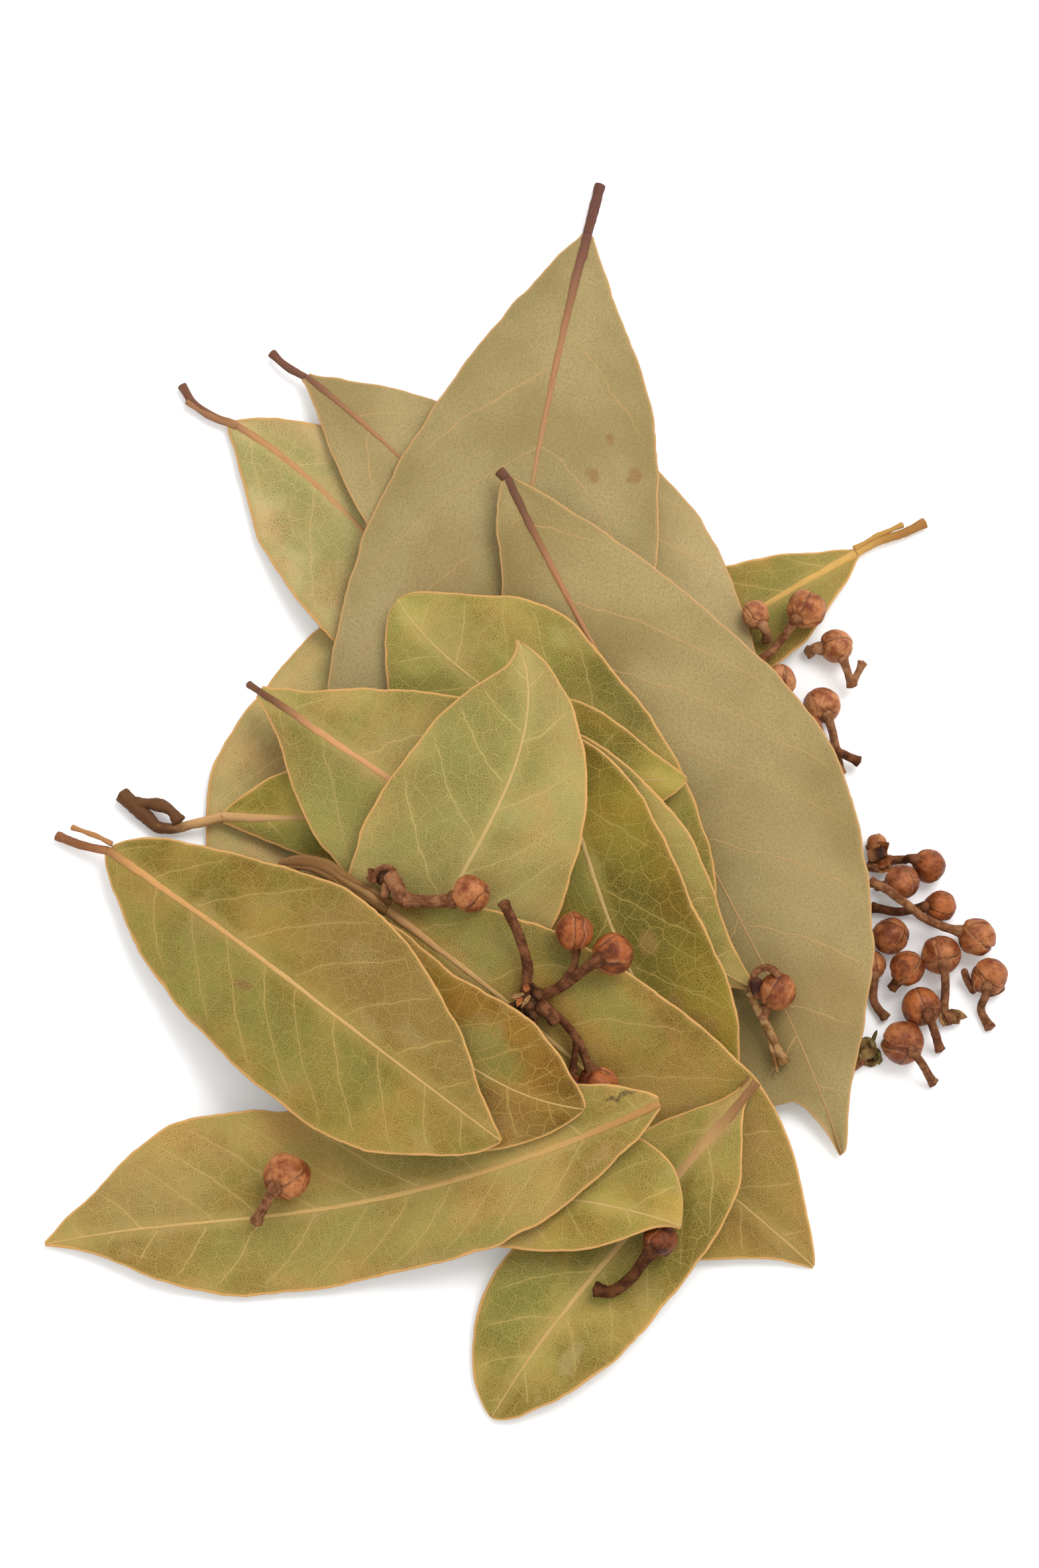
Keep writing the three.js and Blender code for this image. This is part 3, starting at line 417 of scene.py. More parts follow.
    dict(name="l", up=True, base=(-47.3, -8.7), tip=(-2.1, -45), bow=0, sway=0.2,
        left=(4.3, 8.4, 11.7, 8.2, 2.3), right=(3.8, 8.6, 11.1, 10.6, 4.9), blunt=(0.6, 0.3),
        stalk=((-51, -7.6), (-53.5, -6.4)), strands=(((-47, -8), (-49.1, -6.8), (-51.7, -5.7)),),
        deep=(132, 108, 38), light=(171, 142, 66), patch=0.45, rib=(226, 168, 102), foot=(150, 96, 62),
        gap=6.5, rib_width=0.52, net=0.3, stalk_width=0.5, stains=((37, 7, 15, 8, BROWN, 0.75),
        (52, 3, 7, 6, BROWN, 0.5), (19, -5, 13, 6, FRESH, 0.5), (36, -5, 9, 5, FRESH, 0.4),
        (32, 7, 2.6, 1.5, PALE, 0.25), (43, 3, 2.2, 1.3, PALE, 0.3), (51, -5, 2, 1.6, PALE, 0.25),
        (38, 1.5, 3, 0.8, PALE, 0.3), (23, -4, 0.9, 0.6, RUST, 0.8))),
]


def half_width(widths, blunt, t):
    """Half-width between the stations: a smooth curve through them, ending at nothing."""
    knots = np.array([(1 - 2 * blunt[0]) * widths[0], 0, *widths, 0, (1 - 2 * blunt[1]) * widths[4]])
    place = np.minimum(t * STATIONS, STATIONS - 1e-4)
    k = np.floor(place).astype(int)
    f = place - k
    a, b, c, d = (knots[k + i] for i in range(4))
    bend = 2 * a - 5 * b + 4 * c - d
    rise = 3 * (b - c) + d - a
    return b + 0.5 * f * (c - a + f * (bend + f * rise))


def blade_plan(leaf, t, v):
    """Where a place of the blade lies in the plan, and its half-width, for arrays t and v."""
    s = (1 - np.cos(math.pi * t)) / 2
    base, tip = np.array(leaf["base"], float), np.array(leaf["tip"], float)
    way = tip - base
    length = np.hypot(*way)
    right, left = (half_width(leaf[side], leaf["blunt"], t) for side in ("right", "left"))
    if "lobe" in leaf:
        start, end, wide = leaf["lobe"]
        far = s * length
        right = right + wide * smooth_step(start, start + 8, far) * smooth_step(end + 0.4, end - 0.5, far)
    side = np.where(v < 0, right, left)
    stalk = STALK_RADIUS * np.maximum(0, 1 - s / ROOT_SHARE)
    width = np.sqrt(side**2 + stalk**2 + TIP_RADIUS**2)
    bend = 4 * leaf["bow"] * s * (1 - s) + 10.4 * leaf["sway"] * s * (1 - s) * (1 - 2 * s)
    off = bend + v * width
    x = base[0] + way[0] * s - way[1] / length * off
    y = base[1] + way[1] * s + way[0] / length * off
    return x, y, width, s, stalk


def sheet_heights(leaf, solid, t, v):
    """The height of the middle of the blade on a grid, smoothly through the solid's own corners."""
    rows = np.arange(BLADE_STEPS + 1) / BLADE_STEPS
    near, half_way, far = FEELERS
    columns = (-far, -half_way, -near, near, half_way, far)
    found = np.empty((len(rows), len(columns)))
    for i, row in enumerate(np.clip(rows, 0.003, 0.997)):
        for j, column in enumerate(columns):
            x, y, _, _, stalk = blade_plan(leaf, np.array(row), np.array(column))
            rib = RIB_RISE if abs(column) < RIB_SHARE else 0
            half = max(LEAF_THICKNESS / 2 + rib, stalk * math.sqrt(1 - 0.8 * column**2))
            found[i, j] = solid.top(float(x), float(y)) - half
    reach = (1 - half_way) / (far - half_way)
    right, left = (found[:, k] + (found[:, e] - found[:, k]) * reach for k, e in ((1, 0), (4, 5)))
    kept = np.stack([right, found[:, 1], (found[:, 2] + found[:, 3]) / 2, found[:, 4], left])
    across = smooth_through([-1, -half_way, 0, half_way, 1], kept, v)
    return smooth_through(rows, across.T, t)


def vein_phase(leaf, u, w, width, seed):
    """Counts the side veins passed on the way to the tip, and gives the gap between them."""
    gap = leaf["gap"]
    side = (w > 0).astype(int)
    out = np.abs(w)
    along = u - (0.75 * out + 0.45 * out**2 / np.maximum(width.max(), 1))
    along = along + 0.7 * noise(u / 9 + 7 * side, out / 5, side, seed)
    along = along + 0.25 * noise(u / 2.5, out / 2, side, seed + 1)
    random = np.random.default_rng(seed)
    phase, spacing = np.zeros_like(u), np.full_like(u, gap)
    for which in (0, 1):
        steps = gap * random.uniform(0.72, 1.28, 40)
        places = -4 * gap + np.cumsum(steps) + random.uniform(0, gap)
        here = side == which
        phase[here] = np.interp(along[here], places, np.arange(40))
        spacing[here] = np.interp(along[here], places, np.append(np.diff(places), gap))
    return phase, spacing * 0.8


def ripple(u, w, seed):
    return 0.16 * noise(u / 7, w / 7, 0, seed + 2) + 0.06 * noise(u / 2.4, w / 2.4, 0, seed + 3)


def leaf_blade(piece, leaf, solid, seed):
    """The blade. Its fields: along, aside and from the edge; veins counted, their gap, share of the way."""
    length = math.dist(leaf["base"], leaf["tip"])
    rows = int(length / CELL_ALONG)
    columns = 2 * int((max(leaf["left"]) + max(leaf["right"])) / CELL_ACROSS / 2)
    t = np.linspace(0, 1, rows + 1)
    v = np.sin(np.linspace(-1, 1, columns + 1) * 1.3) / math.sin(1.3)
    tt, vv = np.meshgrid(t, v, indexing="ij")
    x, y, width, s, _ = blade_plan(leaf, tt, vv)
    z = sheet_heights(leaf, solid, t, v)
    u, w = s * length, vv * width
    edge = (1 - np.abs(vv)) * width
    phase, spacing = vein_phase(leaf, u, w, width, seed)
    near_rib = smooth_step(0.2, 2.5, np.abs(w))
    quilt = 0.09 * np.cos(2 * math.pi * phase) * near_rib * smooth_step(0.2, 3, edge)
    z = z + smooth_step(0.0, 3.0, width) * (
        (-quilt if leaf["up"] else quilt)
        + ripple(u, w, seed)
        + 0.02 * noise(u / 0.9, w / 0.9, 0, seed + 4)
        + 0.16 * noise(u / 4.2 + 9 * (w > 0), 0, 0, seed + 5) * smooth_step(3.0, 0.0, edge)
    )
    z = np.maximum(z, SHEET + LEAST_HEIGHT + 0.02)
    # The outline is a little uneven.
    other = 31 * (vv > 0)
    jag = 0.16 * noise(u / 2.6 + other, 0, 0, seed + 6) + 0.06 * noise(u / 0.8 + other, 0, 0, seed + 7)
    jag = jag * smooth_step(0.6, 1.0, np.abs(vv)) * smooth_step(0, 2.5, width) * np.sign(vv)
    way = (np.array(leaf["tip"], float) - leaf["base"]) / length
    x, y = x - way[1] * jag, y + way[0] * jag
    thick = SHEET * smooth_step(-0.35, 0.5, edge)

    top, bottom, blade, vein = (
        np.stack(parts, axis=2).reshape(-1, 3)
        for parts in ((x, y, z + thick), (x, y, z - thick), (u, w, edge), (phase, spacing, s))
    )
    upper, lower, loop, after = sheet_faces(rows, columns)
    count = len(top)
    walk = top[after, :2] - top[np.roll(loop, 1), :2]
    walk /= np.maximum(np.linalg.norm(walk, axis=1), 1e-9)[:, None]
    rim = (top[loop] + bottom[loop]) / 2
    rim[:, 0] += 0.07 * walk[:, 1]
    rim[:, 1] -= 0.07 * walk[:, 0]
    ring = 2 * count + np.arange(len(loop))
    ring_after = np.roll(ring, -1)
    faces = (
        upper,
        lower,
        np.stack([ring, ring_after, after, loop], axis=1),
        np.stack([loop + count, after + count, ring_after, ring], axis=1),
    )
    sides = (UPPER, UNDER) if leaf["up"] else (UNDER, UPPER)
    looks = [look for part, look in zip(faces, sides * 2) for _ in part]
    rim_blade = blade[loop] * (1, 1, 0)
    piece.add(
        np.concatenate([top, bottom, rim]),
        np.concatenate(faces),
        looks,
        blade=np.concatenate([blade, blade, rim_blade]),
        vein=np.concatenate([vein, vein, vein[loop]]),
    )


def leaf_rib(piece, leaf, solid, seed):
    """The stalk, and the midrib that it runs on into, as one tapered strand."""
    length = math.dist(leaf["base"], leaf["tip"])
    t = np.linspace(0.01, 0.985, int(length / 0.5))
    zero = np.zeros_like(t)
    x, y, width, s, _ = blade_plan(leaf, t, zero)
    z = sheet_heights(leaf, solid, t, np.array([0.0]))[:, 0]
    z = z + smooth_step(0.0, 3.0, width) * ripple(s * length, zero, seed)
    up = leaf["up"]
    taper = (1 - s) ** (1.1 if up else 2.2)
    wide = 0.13 + (leaf["rib_width"] - 0.13) * taper
    high = SHEET + (0.035 + 0.05 * taper if up else 0.04 + 0.24 * taper)
    path = np.stack([x, y, z], axis=1)
    if "stalk" in leaf:
        stem = [(px, py, solid.top(px, py) - STALK_RADIUS) for px, py in reversed(leaf["stalk"])]
        stem = curve_through(stem + [tuple(path[0])], 0.3)[:-1]
        path = np.concatenate([stem, path])
        joint = smooth_step(0, 0.14, s)
        stalk = leaf.get("stalk_width", 0.58)
        flare = 1 + leaf.get("flare", 0.16) * smooth_step(leaf.get("knob", 1.2), 0.2, run_along(path))
        wide, high = (
            np.concatenate([np.full(len(stem), stalk), stalk + (size - stalk) * joint]) * flare
            for size in (wide, high)
        )
    sweep(piece, RIB, path, wide, high, 14, 0.07, 0.12, seed)
    for k, strand in enumerate(leaf.get("strands", ())):
        path = curve_through([(px, py, solid.top(px, py) - STRAND_RADIUS) for px, py in strand], 0.25)
        share = np.linspace(0, 1, len(path))
        radius = leaf.get("strand_width", 0.36) * (0.75 + 0.25 * np.cos(2 * math.pi * share) ** 2)
        sweep(piece, RIB, path, radius, radius, 12, 0.1, 0.15, seed + 11 + k)
        piece.fields["blade"][-1][:, 2] = leaf.get("strand_share", 0.12)


# ---------------------------------------------------------------------------------- buds
def bud(head, thick, *way, crown=None, **more):
    """A twig of one bud and its stalk, which leaves it at the crown's angle from its top, or straight."""
    return dict(heads=(head,), crowns=(crown,), stems=((thick, (head, *way)),), **more)


# Heads are x, y and radius. Stems are a radius and points, whose height is the radius if none is given. Straps
# are half-width, half-height, material and points. Knots are a place, radius and material. Petals are a place,
# bearing, lift, length, width, curl and material. A husk is how far its head is aside and ahead, and its share.
TWIGS = {
    "bud_u1": bud((27.4, 18.9, 1.6), 0.5, (27.9, 17.5, 1.1), (28.8, 16.4), crown=75),
    "bud_u2": bud((33.3, 19.6, 2.2), 0.5, (31.4, 18, 1.2), (29.8, 15.4), (27.6, 13.3), crown=60),
    "bud_u3": bud((36.9, 16.1, 1.9), 0.6, (35.1, 15.9, 1.2), (33.7, 15.7), crown=85),
    "stem_u4": dict(heads=(), stems=((0.5, ((37.6, 14.2), (38.2, 12.6), (38.7, 11.2))), (0.45, ((38.6, 11.4),
        (39.3, 12.6), (39.9, 13.8))))),
    "bud_u5": bud((30, 10.8, 1.9), 0.5, (29.2, 9.4, 1.2), (28.2, 7.8)),
    "bud_u6": bud((35.1, 8.8, 2.1), 0.5, (36, 6.9, 1.1), (36.7, 4.6), (37.3, 1.1), crown=48),
    "bud_u7": bud((33.2, 5.4, 1.8), 0.5, (35, 4.4, 1.1), (37.3, 3.2, 0.9), (39.4, 2.3, 0.9)),
    "bud_v1": bud((47.2, -10.3, 1.9), 0.5, (46, -9.4, 1.2), (44.2, -9.2), (42.6, -9.3), crown=60),
    "bud_v2": bud((44, -12.6, 1.9), 0.5, (42.4, -12.5, 1), (41.2, -12.4)),
    "stem_v3": dict(heads=((41.3, -7.4, 1.1),), stems=((0.55, ((41.3, -7.4, 1), (41, -8.9, 0.8),
        (40.5, -10.4))),), straps=((0.55, 0.5, 1, ((40.2, -8.3, 1.2), (41.1, -7.5, 1.4), (42, -6.9, 1.5))),
        (0.8, 0.3, 0, ((40.2, -9.1, 1.4), (41.2, -8.9, 1.8), (42.3, -8.4, 2.1))), (0.55, 0.45, 1,
        ((40.4, -10.1, 1), (41.6, -10.4, 1.1), (43, -10.2, 1.3)))),
        petals=((41.2, -8.6, 1.4, 30, 30, 2.2, 1.9, 30, 0), (41.2, -9.8, 1.1, 10, 40, 2.2, 1.7, -20, 0),
        (41.4, -10.1, 1.1, -30, 10, 1.9, 1.4, 50, 0))),
    "bud_v4": bud((48.4, -15.1, 1.8), 0.5, (46.4, -15.3, 0.9), (43.6, -15.4), (40.6, -14.9), crown=70),
    "bud_v5": bud((52.5, -18.9, 2.1), 0.5, (49.9, -18.1, 1.2), (46.6, -17, 1.4), (44, -15.4, 2),
        (41.8, -13.9, 1.6), (40.2, -13), crown=75),
    "bud_v6": bud((42.6, -18.7, 2.1), 0.5, (41, -18.9, 1.1), (39.6, -19.3)),
    "bud_v7": bud((48.3, -20.9, 2.2), 0.5, (48.5, -23, 0.9), (48.9, -25), (48.8, -27.2), (49.4, -28.6),
        crown=38, petals=((48.9, -27.4, 0.6, -15, 5, 2.6, 1.3, 25, 2),
        (48.8, -27.3, 0.6, -50, 5, 2.0, 1.4, 50, 2), (48.7, -27.3, 0.6, -95, 5, 2.0, 1.2, 40, 2),
        (48.9, -27.4, 1.1, -40, -5, 2.0, 1.4, 0, 1))),
    "bud_v8": bud((44.4, -22.8, 2), 0.5, (43.3, -24.1, 1), (42.6, -24.9)),
    "bud_v9": bud((40.5, -22, 1.6), 0.5, (40, -24, 0.8), (40.8, -26.2), (42, -28), crown=58),
    "bud_v10": bud((46, -27, 2.2), 0.5, (46.7, -28.9, 0.9), (47.4, -30.2), (48.2, -31.8), crown=34),
    "bud_v11": bud((43.7, -31.3, 2.4), 0.5, (44.9, -33.2, 0.9), (45.9, -34.4), (47.4, -35.7), crown=42),
    "bud_v12": bud((53.9, -23.4, 2), 0.5, (52.7, -25.2, 1), (53, -27.2), (54, -29.2), crown=50, straps=((0.42,
        0.3, 1, ((52.2, -25.2, 1), (51.7, -24.2, 1), (51.2, -23.2, 1.4), (51, -22.4, 1.8))), (0.4, 0.28, 1,
        ((53.1, -25.2, 1.1), (54, -25.2, 1), (55, -24.9, 1.1), (55.6, -24.4, 1.4)))),
        petals=((52.8, -25.1, 1.5, 75, 60, 2.8, 2.0, -25, 0), (53.2, -25, 1.4, 20, 50, 2.4, 1.6, 20, 0))),
    "bud_v13": bud((39.5, -32.4, 1.5), 0.5, (38.6, -33.4, 0.8), (37.4, -34.2), straps=((0.26, 0.4, 2,
        ((40.6, -30.6, 1.9), (40.35, -31.2, 1.9), (40.35, -31.9, 1.6), (40.8, -32.8, 0.7))), (0.26, 0.4, 2,
        ((40.9, -31.6, 1.5), (41.15, -32, 1.5), (41.15, -32.6, 1.1), (40.9, -33.2, 0.5))), (0.3, 0.3, 3,
        ((38.8, -32.6, 0.8), (39.8, -33.1, 0.8), (40.9, -33.2, 0.5)))),
        petals=((40.4, -32.6, 1.0, 125, 35, 2.8, 2.2, -15, 3), (40.8, -32.9, 0.7, 98, 40, 2.5, 1.2, 10, 2),
        (40.9, -33.2, 0.6, 80, 30, 1.8, 1.2, 25, 2), (40.9, -33, 0.5, 160, 18, 2.6, 1.8, -10, 3)),
        husk=(0.1, 0.7, 0.85)),
    "twig_w1": dict(heads=((10.5, -24.2, 2.3), (6.1, -21.9, 2.1), (8.8, -38.1, 2.3), (5.9, -38, 1.5)),
        crowns=(50, None, 58, None), stems=((0.6, ((-1.8, -18.9, 1.6), (0.1, -22.6, 1.2), (0.9, -25.4, 1),
        (0.6, -29.2, 1))), (0.6, ((0.6, -29.2, 1), (4.6, -27.5, 1.2), (7.9, -25.5, 1.6), (10.5, -24.2, 2.3))),
        (0.45, ((4.6, -27.5, 1.2), (6.1, -25.4, 1.5), (6.1, -21.9, 2.1))), (0.5, ((0.6, -29.2, 1),
        (3, -29.8, 0.9), (6.5, -33, 1.2), (8, -35.2, 1.6), (8.8, -38.1, 2.3))), (0.45, ((0.6, -29.2, 1),
        (1.4, -30.8, 0.9), (1.9, -32.7, 0.8))), (0.4, ((6.5, -33, 1.2), (6.1, -35.8, 1.4), (5.9, -38, 1.5)))),
        straps=((0.85, 0.8, 1, ((1.9, -29.2, 1.2), (3.1, -30.1, 1.3), (4.3, -31.3, 1.2))), (0.65, 0.6, 1,
        ((0.8, -30.4, 1), (1.2, -31.6, 1), (1.7, -32.9, 0.9))), (0.3, 0.25, 3, ((-0.2, -29.4, 1.5),
        (-1.2, -29.7, 1.3), (-2.2, -29.9, 1.1))), (0.3, 0.22, 3, ((0, -30, 1.2), (-0.8, -30.7, 1),
        (-1.4, -31, 0.9)))), knots=((0.7, -29.3, 1.2, 1.2, 3), (1.9, -28.4, 1.3, 0.8, 3),
        (1.2, -30.4, 1.0, 0.95, 3)), petals=((0.5, -28.5, 2.1, 200, 10, 1.9, 0.5, 25, 2),
        (0.3, -29.2, 2.1, 160, 20, 1.6, 0.6, 30, 0), (1.2, -28.7, 2.3, 235, 10, 1.8, 0.5, -20, 2),
        (0.9, -28.2, 2.1, 120, 40, 1.2, 0.8, 30, 0), (0.2, -28.8, 2.0, 250, 15, 1.5, 0.6, 20, 0),
        (1.5, -28.0, 2.1, 80, 50, 1.1, 0.9, 30, 3))),
    "bud_w2": bud((15.8, -55.1, 1.9), 0.7, (14.3, -56.8, 1.3), (12.5, -59, 1), (10.2, -60.5, 0.9),
        (8.5, -60.2, 0.9), crown=65),
    "bud_w3": dict(heads=((-5.5, -17.4, 2.1),), stems=((0.75, ((-5.5, -17.4, 2.1), (-7.7, -17.9, 1.4),
        (-10.8, -17.8, 1), (-12.9, -17.5, 1))), (0.7, ((-12.7, -17.8, 1), (-13.8, -16.1, 1),
        (-15.2, -14.3, 1)))), straps=((0.88, 0.8, 1, ((-14.3, -15, 1.7), (-13.8, -16.3, 1.7),
        (-13.3, -18, 1.4))), (0.95, 0.7, 1, ((-14.9, -14.3, 1.9), (-14.2, -15.2, 1.8), (-13.9, -15.8, 1.7))),
        (0.55, 0.25, 1, ((-14.9, -15.2, 1.4), (-15.1, -16.3, 1.2), (-15.3, -17.1, 1))), (0.42, 0.42, 1,
        ((-16.5, -15.4, 1.3), (-16.4, -14.4, 1.8), (-15.7, -13.6, 2.1), (-14.6, -13.7, 2.1),
        (-14, -14.4, 1.9)))), knots=((-15.4, -14.5, 1.2, 0.9, 3),),
        petals=((-16.3, -14.9, 1.2, 170, 20, 1.5, 1.0, 50, 1),
        (-16.5, -14.2, 1.3, 140, 30, 1.3, 1.0, 50, 1))),
    "bud_w4": bud((-26.2, -47.6, 2.6), 0.6, (-27.8, -49.8, 1.2), (-29.7, -52.2), crown=52),
    "bud_w5": dict(heads=((29.3, -26.4, 2.1),), stems=((0.55, ((26.2, -26.3, 0.8), (27.6, -29.1, 0.7),
        (29, -31.7), (30.1, -34.1))), (0.5, ((27.6, -29.1, 0.7), (28.4, -27.7, 1.2), (29.3, -26.4, 2.1)))),
        straps=((0.45, 0.45, 1, ((26.4, -26.6, 1), (26.4, -25.4, 1.9), (27, -24.4, 2.9), (28.1, -24.1, 3.6),
        (29, -24.6, 3.8), (29.3, -25.3, 3.7))), (0.7, 0.3, 0, ((27.4, -27, 1.4), (26.9, -26.2, 2.3),
        (26.8, -25.2, 3))), (0.28, 0.2, 2, ((28.6, -31.4, 0.9), (29.6, -32.8, 0.8), (30.7, -33.9, 0.8))),
        (0.24, 0.2, 2, ((28.3, -31.4, 0.6), (28.9, -33.4, 0.6), (29.3, -35.2, 0.6)))), straw=True),
}

# Dark and light colour of a bud, dark and light colour of its stalk, and the twigs that have them.
TONES = {
    "warm": ((134, 64, 28), (206, 132, 78), (120, 72, 44), (170, 116, 78), ()),
    "brown": ((120, 56, 26), (192, 116, 66), (108, 64, 38), (158, 106, 72),
              ("bud_v2", "bud_v6", "bud_v11", "bud_v12")),
    "pale": ((156, 84, 46), (224, 154, 100), (142, 92, 60), (194, 140, 100),
             ("bud_u1", "bud_u3", "stem_u4", "bud_u5", "bud_u6")),
    "dark": ((106, 46, 16), (184, 102, 50), (92, 52, 30), (142, 90, 58),
             ("bud_u7", "bud_v1", "bud_v4", "bud_v8", "bud_v10", "twig_w1")),
    # The deep tone is painted shade: darker bud and stalk colours for bud_w2, standing in for the shade it lies
    # in.
    "deep": ((72, 30, 8), (140, 72, 32), (70, 36, 18), (112, 68, 38), ("bud_w2",)),
}

# A head's bracts stand proud of it, so it is a little smaller than its ball.
HEAD_SHARE = 0.97
HEAD_RINGS = 48
HEAD_SIDES = 80
PETAL_ROWS, PETAL_COLUMNS, PETAL_THICK = 14, 8, 0.06

# Depth, fineness and seed step of a head's dents, and whether its seed shifts them too.
DENTS = ((0.05, 1.3, 5, 1), (0.02, 3.6, 6, 1), (0.007, 11, 7, 0), (0.004, 26, 8, 0))


def resting_plane(heads, stems, solid):
    """How high the laid twig is above its own measure: a tilted plane through its corners."""
    marks = [(x, y, 2 * r) for x, y, r in heads]
    marks += [(x, y, height + radius) for radius, run in stems for x, y, height in run]
    rows, rises = [], []
    for x, y, top in marks:
        near = np.hypot(solid.points[:, 0] - x, solid.points[:, 1] - y) < 0.004
        if near.any():
            rows.append((1, x, y))
            rises.append(solid.points[near, 2].max() - top)
    rows, rises = np.array(rows, float), np.array(rises)
    middle = rows.mean(axis=0) * [0, 1, 1]
    weights = np.ones(len(rises))
    for _ in range(12):
        a = (rows - middle) * weights[:, None]
        left = a.T @ a + np.diag([0, 1e-3, 1e-3])
        plane = np.linalg.solve(left, a.T @ (rises * weights))
        off = np.abs((rows - middle) @ plane - rises)
        weights = 1 / (0.02 + off)
    return lambda x, y: float(plane[0] + plane[1] * (x - middle[1]) + plane[2] * (y - middle[2]))


def unit(vector):
    vector = np.array(vector, float)
    return vector / np.linalg.norm(vector)


def ball(piece, centre, radius, axis, size_of, look):
    """A closed round shell. size_of gives radius shares and two fields for directions from the centre."""
    axis = unit(axis)
    aside = unit(np.cross(axis, [0.3, 0.2, 1.0]))
    third = np.cross(axis, aside)
    polar = np.linspace(0, math.pi, HEAD_RINGS + 1)[1:-1]
    turn = np.arange(HEAD_SIDES) * 2 * math.pi / HEAD_SIDES
    pp, tt = (a.ravel() for a in np.meshgrid(polar, turn, indexing="ij"))
    pp, tt = np.append(pp, (0, math.pi)), np.append(tt, (0, 0))
    local = np.stack([np.sin(pp) * np.cos(tt), np.sin(pp) * np.sin(tt), np.cos(pp)], axis=1)
    size, seam, rim = size_of(local, pp)
    points = np.array(centre) + radius * size[:, None] * (local @ np.array([aside, third, axis]))
    points[:, 2] += max(0.0, LEAST_HEIGHT - points[:, 2].min())
    fields = np.stack([seam, rim, pp / math.pi], axis=1)
    piece.add(points, tube_faces(len(polar), HEAD_SIDES), look, blade=fields)


def bud_head(piece, centre, radius, axis, seed, look):
    """A round bud wrapped in overlapping bracts. The axis leads from its stalk to its tip."""
    random = np.random.default_rng(seed)
    turn = random.uniform(0, 2 * math.pi)
    first = unit((math.cos(turn), math.sin(turn), random.uniform(-0.25, 0.25)))
    second = unit((-math.sin(turn), math.cos(turn), random.uniform(-0.3, 0.3)))
    edges = ((first, random.uniform(-0.1, 0.42), 0.06), (second, random.uniform(-0.3, 0.3), 0.05),
             (-first, random.uniform(-0.1, 0.3), 0.04))
    facets = [(unit(random.normal(size=3)), random.uniform(0.9, 0.97)) for _ in range(7)]

    def size_of(d, pp):
        x, y, _ = d.T
        blunt = 1.02**-30.0 + sum((reach / np.maximum(d @ way, 0.3)) ** -30.0 for way, reach in facets)
        size, seam, rim = blunt ** (-1 / 30), np.zeros_like(x), np.zeros_like(x)
        free = np.ones_like(x)
        from_stalk = math.pi - pp
        for k, (way, reach, lift) in enumerate(edges):
            wave = 0.14 * noise_on(d, 1.7, seed + k, k) + 0.03 * noise_on(d, 7, seed + k)
            past = d @ way - reach + wave
            cover = smooth_step(-0.015, 0.03, past)
            calm = free * smooth_step(math.pi, 2.5, pp)
            size += lift * cover * calm
            size -= 0.025 * bell(past, -0.06, 0.06) * calm
            # seam and rim mark where painted shade and painted light go, beside and on each bract's raised
            # edge.
            seam = np.maximum(seam, bell(past, -0.035, 0.035) * calm)
            rim = np.maximum(rim, bell(past, 0.05, 0.045) * calm)
            free = free * (1 - cover)
        size += 0.07 * bell(pp, 0, 0.2)
        crease = np.cos(5 * np.arctan2(y, x) + 2.5 * noise_on(d, 2, seed + 9))
        size += 0.035 * crease * bell(from_stalk, 0.55, 0.4)
        for depth, scale, step, shift in DENTS:
            size += depth * noise_on(d, scale, seed + step, seed * shift)
        size -= 0.07 * bell(from_stalk, 0, 0.45)
        return size, seam, rim

    ball(piece, centre, HEAD_SHARE * radius, axis, size_of, look)


def knot(piece, centre, radius, look, seed):
    """A rough woody lump, as where a twig forks."""
    def size_of(d, pp):
        size = 1 + 0.22 * noise_on(d, 1.6, seed) + 0.14 * noise_on(d, 4, seed + 1)
        size += 0.05 * noise_on(d, 10, seed + 2)
        return size * 0.95, np.zeros_like(pp), np.zeros_like(pp)

    ball(piece, centre, radius, (0, 0, 1), size_of, look)


def petal(piece, base, bearing, lift, length, width, curl, look, seed):
    """A dry bract: a thin cupped scale from its base along a bearing, curling up. Angles are in degrees."""
    bearing, lift, curl = (math.radians(a) for a in (bearing, lift, curl))
    share = np.linspace(0, 1, PETAL_ROWS + 1)
    pitch = lift + curl * share
    step = length / PETAL_ROWS
    out, up = (np.concatenate([[0], np.cumsum(way(pitch[:-1]))]) * step for way in (np.cos, np.sin))
    half = width / 2 * (0.35 + 0.65 * np.sin(math.pi * np.minimum(share * 0.9 + 0.08, 1)))
    half = half * np.sqrt(np.clip(1 - share**6, 0.02, 1))
    ss, vv = np.meshgrid(share, np.linspace(-1, 1, PETAL_COLUMNS + 1), indexing="ij")
    across = vv * half[:, None] * (1 + 0.08 * noise(ss * 5, vv * 2, 0, seed))
    cup = 0.5 * vv**2 * half[:, None] + 0.06 * noise(ss * 4, vv * 2, 0, seed + 1)
    forward = out[:, None] - cup * np.sin(pitch)[:, None]
    height = up[:, None] + cup * np.cos(pitch)[:, None]
    x = base[0] + forward * math.cos(bearing) - across * math.sin(bearing)
    y = base[1] + forward * math.sin(bearing) + across * math.cos(bearing)
    middle = np.stack([x, y, np.maximum(base[2] + height, 0.1)], axis=2)
    over = np.cross(np.gradient(middle, axis=0), np.gradient(middle, axis=1))
    over /= np.maximum(np.linalg.norm(over, axis=2), 1e-9)[..., None]
    thin = PETAL_THICK * np.sqrt(np.clip(1.05 - vv**2, 0.1, 1))[..., None]
    upper, lower, loop, after = sheet_faces(PETAL_ROWS, PETAL_COLUMNS)
    count = ss.size
    rim = np.stack([loop + count, after + count, after, loop], axis=1)
    points = np.concatenate([(middle + over * thin).reshape(-1, 3), (middle - over * thin).reshape(-1, 3)])
    fields = np.stack([np.zeros(count), vv.ravel() ** 4, ss.ravel()], axis=1)
    piece.add(points, np.concatenate([upper, lower, rim]), look, blade=np.concatenate([fields, fields]))


